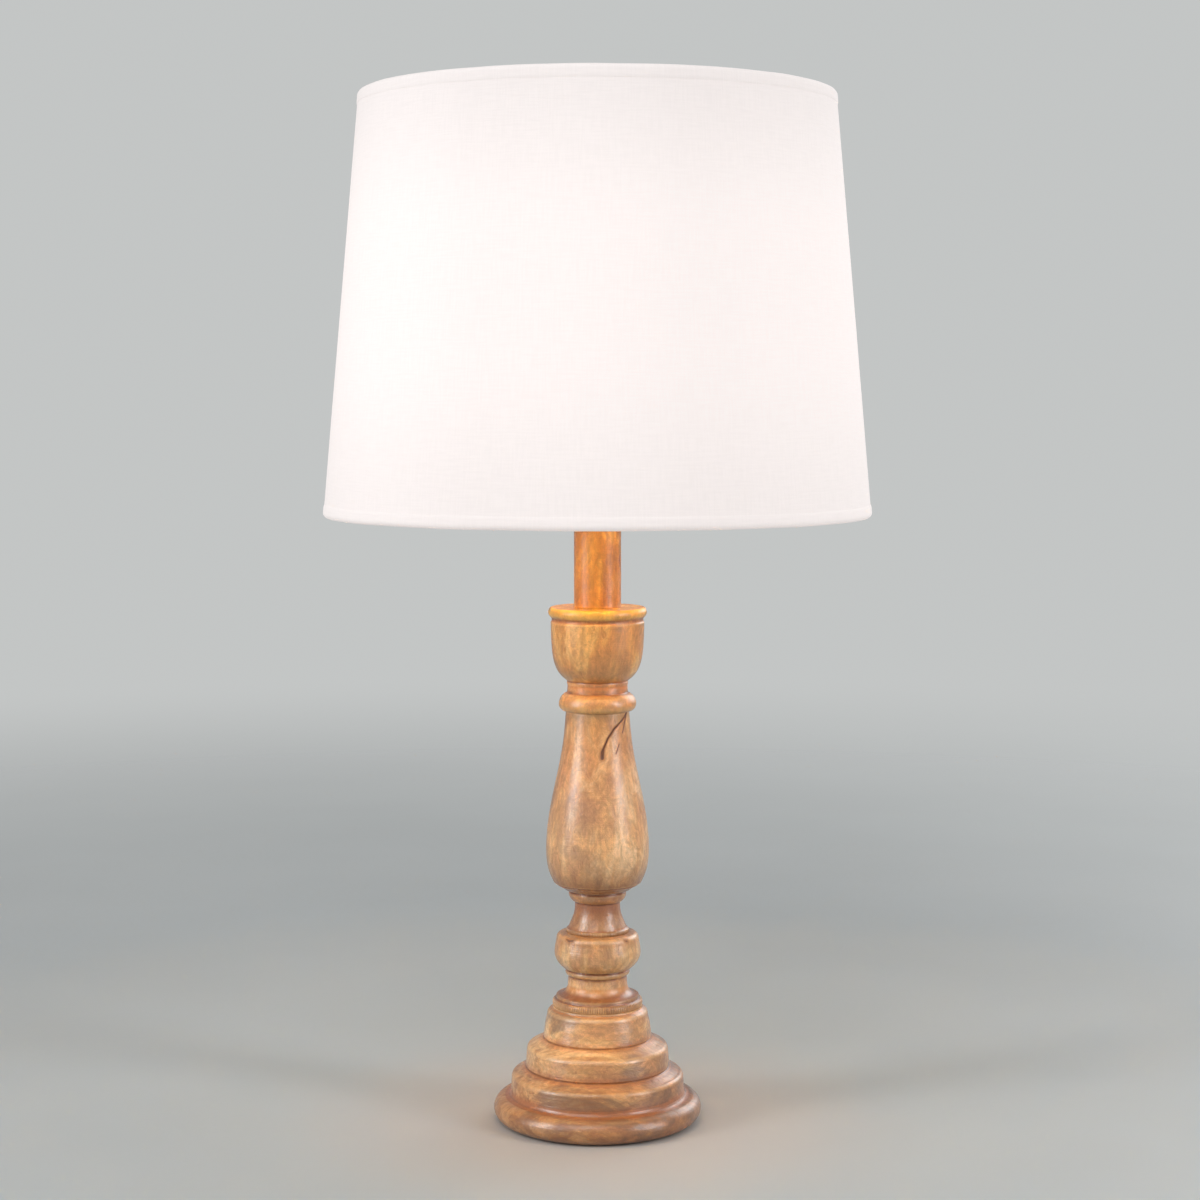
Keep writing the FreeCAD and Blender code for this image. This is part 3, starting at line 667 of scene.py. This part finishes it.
def foot_section():
    """Three tiers and a drum, over the pocket for the nut and the felt's recess."""
    s = Section(COLUMN_BORE, 15.0)
    s.line((24.0, 15.0), (24.0, 1.5), (57.1, 1.5), (57.1, 0.6), (59.6, 0.6))
    s.arc((67.5, 8.5), (59.6, 16.4))
    s.line((57.4, 17.4), (56.5, 19.0), (55.9, 28.6)).arc((55.2, 30.6), (53.2, 31.8))
    s.line((47.3, 35.0), (46.2, 35.5), (46.8, 36.4), (46.0, 46.6)).arc((45.2, 49.0), (43.2, 50.4))
    s.line((36.0, 54.2), (34.8, 54.6), (35.2, 55.6), (34.0, 64.0), (32.8, 69.8))
    s.arc((31.9, 72.4), (30.2, 73.6))
    return s.line((29.2, 74.6), (29.2, FOOT_TOP), (COLUMN_BORE, FOOT_TOP))


def lower_section():
    """Bead, cove, fillet and knop."""
    s = Section(COLUMN_BORE, FOOT_TOP, 0.8).line((28.5, FOOT_TOP)).arc((29.3, 77.7), (28.5, 79.8))
    s.line((27.4, 80.2), (27.0, 80.8), (26.8, 82.5)).arc((21.5, 84.7), (19.3, 90.0))
    s.line((19.1, 93.6), (18.9, 95.5), (20.3, 96.4)).arc((20.9, 97.9), (20.4, 99.3))
    s.line((20.0, 99.8), (22.3, 100.6)).curve((25.7, 104.2), (27.9, 109.4), (27.6, 114.6), (26.7, 119.4))
    return s.arc((25.9, 122.1), (24.0, 123.4)).line((21.4, LOWER_TOP), (COLUMN_BORE, LOWER_TOP))


def vase_section():
    """Cove, ring and vase."""
    s = Section(COLUMN_BORE, LOWER_TOP, 0.7).line((20.0, LOWER_TOP)).arc((20.5, 125.2), (19.9, 126.3))
    s.line((19.0, 126.9)).curve((16.7, 132.2), (15.2, 136.6), (14.7, 140.6), (14.8, 143.9))
    s.line((16.4, 144.6)).arc((18.1, 146.9), (18.7, 149.9))
    s.line((18.2, 150.6), (18.2, 151.4), (21.2, 151.9)).curve((22.6, 153.0), (26.6, 155.3))
    s.line((26.4, 156.0), (28.4, 156.6))
    s.curve((31.1, 162.7), (33.3, 178.0), (32.4, 193.0), (29.2, 212.5), (25.3, 230.7), (22.3, 247.6),
            (20.4, VASE_TOP))
    return s.line((COLUMN_BORE, VASE_TOP))


def cup_section():
    """Collar, neck, cup and lip."""
    s = Section(COLUMN_BORE, VASE_TOP, 0.8).line((20.8, VASE_TOP)).arc((24.0, 269.8), (24.9, 272.7))
    s.arc((23.9, 276.6), (20.4, 279.8))
    s.line((19.6, 280.3), (19.3, 284.4), (19.8, 286.8), (19.4, 287.5), (20.5, 288.4))
    s.curve((23.2, 290.8), (26.4, 295.4), (28.7, 303.0), (29.7, 313.0), (30.1, 325.4))
    s.line((29.5, 326.3), (29.5, 328.0), (30.2, 328.8)).arc((31.7, 331.9), (30.2, CUP_TOP))
    return s.line((COLUMN_BORE, CUP_TOP))


def tube_section():
    top = high_z("candle_tube")
    s = Section(COLUMN_BORE, CUP_TOP, 1.2)
    return s.line((15.1, CUP_TOP), (15.1, top - 0.6), (14.5, top), (COLUMN_BORE, top))


# Marks in the wood: paths of (degrees right of the front, height, half width, depth) in millimetres
VASE_MARKS = (
    ((66.0, 267.8, 0.50, 0.7), (46.3, 262.5, 0.48, 0.8), (29.4, 258.3, 0.50, 0.8), (17.6, 252.6, 0.46, 0.7),
     (10.5, 246.8, 0.50, 0.7), (8.0, 244.0, 0.85, 0.9), (7.6, 240.4, 0.90, 0.9)),
    ((63.6, 266.9, 0.50, 0.5), (56.4, 262.1, 0.45, 0.5), (48.3, 255.4, 0.30, 0.4)),
    ((38.6, 248.7, 0.22, 0.1), (30.9, 242.7, 0.30, 0.1)),
)
TUBE_MARKS = (((74.0, 369.0, 0.6, 0.1), (70.0, 365.0, 1.1, 0.2), (73.0, 361.0, 0.7, 0.1)),)
KNOP_MARKS = (
    ((-50.0, 121.9, 0.8, 0.1), (-43.0, 121.4, 1.2, 0.15), (-37.0, 121.8, 0.7, 0.1)),
    ((41.0, 121.6, 0.5, 0.1), (46.0, 121.2, 0.8, 0.1)),
)


def from_front(angle):
    """An angle about the axis, measured from the lamp's front, from -pi to pi."""
    return (angle - FRONT + math.pi) % (2 * math.pi) - math.pi


def marks_at(marks, radius, height, angle):
    """How deep and how dark the marks are at a point of a piece, each from 0."""
    depth, dark = 0.0, 0.0
    here = np.array((from_front(angle), height))
    scale = np.array((radius, 1.0))
    for path in marks:
        for a, b in zip(path, path[1:]):
            start = np.array((math.radians(a[0]), a[1])) * scale
            run = np.array((math.radians(b[0]), b[1])) * scale - start
            offset = here * scale - start
            share = min(1.0, max(0.0, float(offset @ run) / float(run @ run)))
            gap = float(np.linalg.norm(offset - share * run))
            half = a[2] + (b[2] - a[2]) * share
            depth = max(depth, (a[3] + (b[3] - a[3]) * share) * max(0.0, 1.0 - gap / (1.6 * half)))
            dark = max(dark, 1.0 - gap / (3.2 * half))
    return depth, dark


def near_marks(marks, height, angle):
    """Whether a point lies in the window round a piece's marks, in degrees and millimetres."""
    beside, above = 12, 5
    around = [stop[0] for path in marks for stop in path]
    up = [stop[1] for path in marks for stop in path]
    if not min(around) - beside < math.degrees(from_front(angle)) < max(around) + beside:
        return False
    return min(up) - above < height < max(up) + above


def worked(name, section, segments, marks, least_radius, darkness=1.0, band=(0.0, 0.0)):
    """A turned piece with natural marks sunk into it and darkened, and a rouletted bead whose notches are
    sunk and darkened as painted shade.
    """
    def shift(radius, height, angle):
        sunk = NOTCH_DEPTH * notch(band, radius, height, angle)
        if radius > least_radius and near_marks(marks, height, angle):
            sunk = max(sunk, marks_at(marks, radius, height, angle)[0])
        return -sunk, 0.0

    obj = turned(name, section, segments, shift=shift)
    values = np.zeros(len(obj.data.vertices), np.float32)
    for v in obj.data.vertices:
        x, y, z = v.co / MM
        angle, radius = math.atan2(y, x), math.hypot(x, y)
        # The rouletted notches are darkened as painted shade.
        values[v.index] = NOTCH_SHADE * notch(band, radius, z, angle)
        if radius > least_radius and near_marks(marks, z, angle):
            values[v.index] = max(values[v.index], darkness * marks_at(marks, radius, z, angle)[1])
    obj.data.attributes.new("crack_and_notch_shade", "FLOAT", "POINT").data.foreach_set("value", values)
    return obj


def bore_for_inlet(foot):
    """Cuts the seat of the cable bush and the channel behind it into the rear of the foot."""
    low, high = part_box("cable_bush")
    centre = (low + high) / 2
    flange = (high.x - low.x) / 2
    length = 0.1
    cutters = ((flange + 0.1 * MM, high.y - 2.0 * MM), (flange - 1.4 * MM, low.y), (4.0 * MM, 20.0 * MM))
    for radius, start in cutters:
        cut = bmesh.new()
        bmesh.ops.create_cone(cut, cap_ends=True, segments=64, radius1=radius, radius2=radius, depth=length)
        mesh = bpy.data.meshes.new("cutter")
        cut.to_mesh(mesh)
        cut.free()
        middle = Matrix.Translation((0.0, start + length / 2, centre.z))
        mesh.transform(middle @ Matrix.Rotation(math.pi / 2, 4, "X"))
        cutter = placed("cutter", mesh)
        tool = foot.modifiers.new("inlet", "BOOLEAN")
        tool.operation, tool.solver, tool.object = "DIFFERENCE", "EXACT", cutter
        graph = bpy.context.evaluated_depsgraph_get()
        result = bpy.data.meshes.new_from_object(foot.evaluated_get(graph))
        foot.modifiers.clear()
        foot.data = result
        bpy.data.objects.remove(cutter)
    foot.data.set_sharp_from_angle(angle=SMOOTH_ANGLE)


# Tints of each piece from its foot up: (height in millimetres, tint). Besides the wood's tone they hold
# painted
# light and shade: bright bands for lit tops and the cove's flare, dark bands for shaded undersides and
# coves, and the bulb's orange glow on the cup's neck and lip and all up the tube.
FOOT_TONE_AND_LIGHT = (
    (0.0, (0.52, 0.37, 0.23)), (16.0, (0.70, 0.51, 0.32)), (19.0, (0.82, 0.63, 0.41)),
    (30.0, (0.82, 0.65, 0.45)), (35.5, (0.90, 0.77, 0.60)), (50.0, (0.98, 0.88, 0.72)),
    (55.0, (1.16, 1.12, 0.96)), (75.0, (1.02, 0.90, 0.72)),
)
LOWER_TONE_AND_LIGHT = (
    (75.5, (0.90, 0.78, 0.62)), (82.0, (0.56, 0.40, 0.26)), (84.5, (0.60, 0.44, 0.28)),
    (87.5, (1.40, 1.46, 1.34)), (91.0, (1.30, 1.32, 1.18)), (95.0, (0.90, 0.80, 0.62)),
    (99.0, (0.76, 0.62, 0.46)), (103.0, (1.0, 0.96, 0.86)), (118.0, (1.0, 0.95, 0.84)),
    (124.0, (0.88, 0.72, 0.54)),
)
VASE_TONE_AND_LIGHT = (
    (124.0, (0.76, 0.65, 0.54)), (146.0, (0.80, 0.60, 0.42)), (158.0, (0.60, 0.45, 0.30)),
    (170.0, (0.95, 0.89, 0.81)), (186.0, (1.20, 1.17, 1.12)), (215.0, (0.98, 0.93, 0.88)),
    (240.0, (0.97, 0.84, 0.69)), (268.0, (0.95, 0.82, 0.60)),
)
CUP_TONE_AND_LIGHT = (
    (268.0, (1.04, 0.90, 0.56)), (281.0, (1.04, 0.90, 0.60)), (284.0, (1.40, 1.22, 0.82)),
    (290.0, (1.04, 0.92, 0.58)), (326.0, (1.12, 0.97, 0.50)), (335.0, (1.42, 1.16, 0.10)),
)
# The tube's tint is mostly the bulb's orange glow, painted.
TUBE_TONE_AND_LIGHT = ((335.0, (0.90, 0.68, 0.17)), (450.0, (0.90, 0.68, 0.17)))


def make_column():
    across_grain = (0.0, math.radians(90), 0.0)
    plank = mango_wood("mango_foot", (-0.075, 0.030), FOOT_TONE_AND_LIGHT, across_grain, 0.70, 0.37, (-3.6, 0.9))
    stem = mango_wood("mango_spindle", (0.020, -0.055), LOWER_TONE_AND_LIGHT, stain=0.26, seed=1.31)
    body = mango_wood("mango_vase", (0.016, -0.046), VASE_TONE_AND_LIGHT, stain=0.34, seed=2.13, drift=(1.6, -1.6))
    head = mango_wood("mango_cup", (-0.050, -0.030), CUP_TONE_AND_LIGHT, stain=0.16, seed=3.42)
    post = mango_wood("mango_tube", (0.030, 0.040), TUBE_TONE_AND_LIGHT, stain=0.12, seed=4.57)
    foot = turned("turned_foot", foot_section(), 288)
    bore_for_inlet(foot)
    settle(foot, "base", plank, "mango_wood", "foot")
    lower = worked("turned_lower_spindle", lower_section(), 480, KNOP_MARKS, 18.0, 0.74, (75.8, 79.6))
    settle(lower, "base", stem, "mango_wood", "lower_spindle")
    vase = worked("turned_vase", vase_section(), 480, VASE_MARKS, 15.0, 1.0, (124.1, 126.2))
    settle(vase, "base", body, "mango_wood", "vase_spindle")
    settle(turned("turned_cup", cup_section(), 256), "base", head, "mango_wood", "cup_spindle")
    tube = worked("turned_tube", tube_section(), 200, TUBE_MARKS, 14.0, 0.85)
    settle(tube, "base", post, "mango_wood", "candle_tube")


def make_felt():
    edge = 57.0

    def fuzz(radius, height, angle):
        if radius <= edge - 1:
            return 0.0, 0.0
        return 0.25 * noise.noise(Vector((14 * math.cos(angle), 14 * math.sin(angle), height))) - 0.2, 0.0

    section = Section(0.0, 0.0, 2.0).line((edge, 0.0), (edge, 1.5), (0.0, 1.5))
    settle(turned("felt_disc", section, 240, 0.4, fuzz), "base", felt(), "felt", "felt_pad")


# ---------------------------------------------------------------- shade

def shade_radius(height):
    """The shade's outer radius at a height, in millimetres."""
    share = (height - SHADE_LOW) / (SHADE_HIGH - SHADE_LOW)
    return SHADE_LOW_RADIUS + share * (SHADE_HIGH_RADIUS - SHADE_LOW_RADIUS)


def at_wall(depth, height):
    """The point of a section that lies this deep in the shade's wall."""
    return shade_radius(height) - depth, height


def stretch_waves(_, height, angle):
    """Faint unevenness of cloth glued to its laminate."""
    spot = Vector((3.2 * math.cos(angle), 3.2 * math.sin(angle), height * 0.009))
    fine = Vector((11 * math.cos(angle), 11 * math.sin(angle), height * 0.03 + 7))
    return 0.10 * noise.noise(spot) + 0.04 * noise.noise(fine) - 0.05, 0.0


def shade_wall(name, outer, inner, segments, shift=None):
    """A stretch of wall between the two rims, from one depth to another, clear of the hems' bends."""
    clear, step = 3.3, 6.0
    low, high = SHADE_LOW + clear, SHADE_HIGH - clear
    section = Section(*at_wall(outer, low), step)
    section.line(at_wall(outer, high), at_wall(inner, high), at_wall(inner, low))
    return turned(name, section, segments, 0.0, shift)


def hem_section(edge, inward):
    """Cloth folded round a rim and its wire, with a thin free edge. inward is 1 at the bottom rim and -1 at
    the top."""
    width = 3 * CLOTH_THICKNESS + LINER_THICKNESS + 4.1
    bend, back = width / 2, 6.0
    thick = CLOTH_THICKNESS

    def at(depth, offset):
        return at_wall(depth, edge + inward * offset)

    s = Section(*at(0.6 * thick, HEM_HEIGHT), 0.8)
    s.line(at(0.16 * thick, HEM_HEIGHT - 0.8), at(0, HEM_HEIGHT - 1.9))
    s.line(at(0, bend)).arc(at(bend, 0), at(width, bend)).line(at(width, back), at(width - thick, back))
    s.line(at(width - thick, bend)).arc(at(bend, thick), at(thick, bend))
    return s.line(at(thick, HEM_HEIGHT))


def hem_pucker(seed):
    """A shift for a hem: fine gathers across it and a slow wander of its edge."""
    def shift(_, height, angle):
        spot = Vector((24 * math.cos(angle), 24 * math.sin(angle), seed + height * 0.05))
        slow = Vector((5 * math.cos(angle), 5 * math.sin(angle), seed))
        return 0.10 * noise.noise(spot) - 0.08, 0.22 * noise.noise(slow)
    return shift


def seam_strip():
    """The cloth's overlapped edge up the rear, raised a thread or two, with soft edges."""
    gap, across, along = 0.3, 14, 90
    low, high = SHADE_LOW + HEM_HEIGHT + gap, SHADE_HIGH - HEM_HEIGHT - gap
    vertices, faces = [], []
    for j in range(along + 1):
        height = low + (high - low) * j / along
        for face in (0, 1):
            for i in range(across + 1):
                share = i / across
                edge = min(1.0, min(share, 1 - share) * 9)
                wander = 0.25 * noise.noise(Vector((0.0, 0.0, height * 0.05 + 3)))
                angle = math.pi / 2 + ((share - 0.5) * SEAM_WIDTH + wander) / shade_radius(height)
                lift = (0.14 + 0.30 * edge) if face == 0 else 0.02
                radius = shade_radius(height) - CLOTH_THICKNESS + lift
                vertices.append((radius * math.cos(angle) * MM, radius * math.sin(angle) * MM, height * MM))
    row, side = 2 * (across + 1), across + 1
    for j in range(along):
        here, there = j * row, (j + 1) * row
        for i in range(across):
            faces.append((here + i, here + i + 1, there + i + 1, there + i))
            faces.append((here + side + i + 1, here + side + i, there + side + i, there + side + i + 1))
        for i in (0, across):
            faces.append((here + i, there + i, there + side + i, here + side + i))
    for start in (0, along * row):
        for i in range(across):
            faces.append((start + i, start + side + i, start + side + i + 1, start + i + 1))
    obj = new_object("shade_overlap", vertices, faces)
    face_outward(obj)
    return obj


def make_shade():
    cloth = shade_cloth()
    fabric = shade_wall("shade_cloth", CLOTH_THICKNESS, 2 * CLOTH_THICKNESS, 360, stretch_waves)
    settle(fabric, "shade", cloth, "shade_fabric", "shade_fabric")
    inner = 2 * CLOTH_THICKNESS
    liner = shade_wall("shade_lining", inner + 0.1, inner + LINER_THICKNESS, 288)
    settle(liner, "shade", liner_plastic(), "shade_liner", "shade_liner")
    low_hem = turned("hem_low", hem_section(SHADE_LOW, 1), 360, 0.0, hem_pucker(1.0))
    settle(low_hem, "shade", cloth, "shade_fabric", "bottom_hem")
    high_hem = turned("hem_high", hem_section(SHADE_HIGH, -1), 360, 0.0, hem_pucker(9.0))
    settle(high_hem, "shade", cloth, "shade_fabric", "top_hem")
    seam = seam_strip()
    settle(seam, "shade", cloth, "shade_fabric", "shade_seam")


# ---------------------------------------------------------------- bulb and lampholder

def helix(low, high, pitch, depth, least_radius):
    """A right-hand round thread between two heights, faded at its ends."""
    def shift(radius, height, angle):
        if not (low < height < high and radius > least_radius):
            return 0.0, 0.0
        fade = min(1.0, (height - low) / (0.5 * pitch), (high - height) / (0.5 * pitch))
        return depth * fade * math.cos(2 * math.pi * height / pitch - angle), 0.0
    return shift


def bulb_cap():
    low, top = low_z("bulb_cap"), high_z("bulb_cap")
    start = low + 3.2
    mean = 12.3
    s = Section(9.3, low, 0.35).curve((10.8, low + 1.4), (mean, start)).line((mean, top))
    s.line((mean - 0.9, top), (mean - 0.9, start + 0.2), (9.3, low + 1.8))
    return turned("cap_threaded", s, 120, 0.1, helix(start + 0.4, top - 2.0, E27_PITCH, 0.45, mean - 0.3))


def bulb_dome():
    radius = widest("bulb_dome")
    rim, top = low_z("bulb_dome"), high_z("bulb_dome")
    centre = top - radius
    rim_radius = math.sqrt(radius ** 2 - (centre - rim) ** 2)
    wall = 1.5
    inner = radius - wall
    inner_rim = math.sqrt(inner ** 2 - (centre - rim) ** 2)
    half = math.sqrt(0.5)
    aside, along = 0.3827, 0.9239  # sine and cosine of 22.5 degrees
    s = Section(rim_radius, rim, 0.9).arc((radius, centre), (radius * half, centre + radius * half))
    s.arc((radius * aside, centre + radius * along), (0.0, top)).line((0.0, top - wall))
    s.arc((inner * aside, centre + inner * along), (inner * half, centre + inner * half))
    s.arc((inner, centre), (inner_rim, rim))
    return turned("dome_frosted", s, 128, 0.15)


def bulb_housing():
    low, rim = low_z("bulb_housing"), high_z("bulb_housing")
    rim_radius = widest("bulb_housing")
    neck = 13.15
    s = Section(neck - 1.6, low, 0.9).line((neck, low), (neck + 0.4, low + 2.0))
    s.curve((16.4, 479.0), (22.6, 492.0), (rim_radius, rim))
    s.line((rim_radius - 3.0, rim), (rim_radius - 3.0, rim - 2.0), (22.0, rim - 2.0), (22.0, rim - 3.5))
    s.curve((19.0, 491.0), (14.4, 479.0), (neck - 1.6, low + 2.0))
    return turned("housing_moulded", s, 128, 0.25)


def sleeve():
    """The lampholder's upper sleeve, with a true helix for the shade rings."""
    low, top = low_z("holder_body"), high_z("holder_body")
    joint, mouth, seat = low + 4.0, 15.0, 16.1
    spigot, flange, crest = 17.6, 20.9, 19.2
    carrier_top = high_z("contact_carrier")
    s = Section(seat, low, 0.4).line((spigot, low), (spigot, joint), (flange, joint), (flange, joint + 2.0))
    s.line((crest, joint + 2.5), (crest, top - 1.4), (crest - 1.0, top), (mouth, top))
    s.line((mouth, carrier_top), (seat, carrier_top))
    thread = helix(joint + 3.0, top - 1.6, SLEEVE_PITCH, 0.38, crest - 0.3)
    return turned("sleeve_threaded", s, 144, 0.25, thread)


def welds():
    """Small weld beads where the gimbal's arms meet its ring and the rim wire."""
    arms_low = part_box("gimbal_arms")[0].z
    ring_low, ring_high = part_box("gimbal_ring")
    level = (ring_low.z + ring_high.z) / 2
    rim = SHADE_LOW_RADIUS * MM - 3.9 * MM
    at_ring, at_rim = (ring_high.x + 0.0003, level, 0.0022), (rim, arms_low + 0.0004, 0.0020)
    bead = bmesh.new()
    for k in range(3):
        angle = math.pi / 2 + 2 * math.pi * k / 3
        for radius, height, size in (at_ring, at_rim):
            spot = Matrix.Translation((radius * math.cos(angle), radius * math.sin(angle), height))
            made = bmesh.ops.create_icosphere(bead, subdivisions=3, radius=size, matrix=spot)
            for v in made["verts"]:
                v.co += 0.0003 * noise.noise(v.co * 900) * Vector((1, 1, 1))
    mesh = bpy.data.meshes.new("gimbal_welds")
    bead.to_mesh(mesh)
    bead.free()
    mesh.shade_smooth()
    return placed("gimbal_welds", mesh)


def make_fittings():
    ivory = plastic("holder_plastic", (0.78, 0.76, 0.71))
    white = plastic("bulb_plastic", (0.86, 0.86, 0.84), 0.35)
    dark = plastic("bush_plastic", (0.030, 0.022, 0.018), 0.5)
    black = plastic("cap_glass", (0.018, 0.015, 0.018), 0.15, 300.0)
    zinc = metal("zinc_plate", (0.62, 0.62, 0.60))
    nickel = metal("nickel_plate", (0.70, 0.68, 0.64), 0.18)
    brass = metal("brass_bright", (0.76, 0.57, 0.26), 0.2)
    satin = metal("brass_satin", (0.66, 0.47, 0.20), 0.32)
    solder = metal("solder", (0.60, 0.59, 0.56), 0.35)
    board = plastic("board_lacquer", (0.84, 0.84, 0.82), 0.3)
    mask = plastic("solder_mask", (0.02, 0.13, 0.05), 0.35)
    clay = plastic("ceramic", (0.80, 0.77, 0.70), 0.6, 700.0)
    wire = white_coat()
    dome = lit("dome_glow", (1.0, 0.64, 0.24), 155.0)
    chip = lit("phosphor_glow", (1.0, 0.62, 0.25), 3.0, (0.9, 0.72, 0.2))
    plain = {
        ivory: ("holder_base", "shade_ring_lower", "shade_ring_upper", "switch_bar"),
        dark: ("cable_bush",),
        black: ("bulb_insulator",),
        zinc: ("threaded_rod", "bottom_washer", "lock_washer", "bottom_nut", "holder_grub_screw"),
        nickel: ("screw_shell",),
        brass: ("terminal_screws", "centre_contact", "side_contact", "switch_contact"),
        satin: ("tube_cap",),
        solder: ("bulb_contact",),
        board: ("led_board",),
        mask: ("driver_board",),
        clay: ("contact_carrier",),
        wire: ("gimbal_ring", "gimbal_arms", "bottom_wire_ring", "top_wire_ring"),
        chip: ("led_chips",),
    }
    for material, names in plain.items():
        for name in names:
            nodes[name].data.materials.clear()
            nodes[name].data.materials.append(material)
    settle(sleeve(), "base", ivory, "holder_plastic", "holder_body")
    settle(bulb_cap(), "bulb", nickel, "nickel_shell", "bulb_cap")
    settle(bulb_dome(), "bulb", dome, "opal_dome", "bulb_dome")
    settle(bulb_housing(), "bulb", white, "bulb_plastic", "bulb_housing")
    settle(welds(), "shade", wire, "white_wire")


make_camera()
make_light()
make_floor()
make_column()
make_felt()
make_shade()
make_fittings()
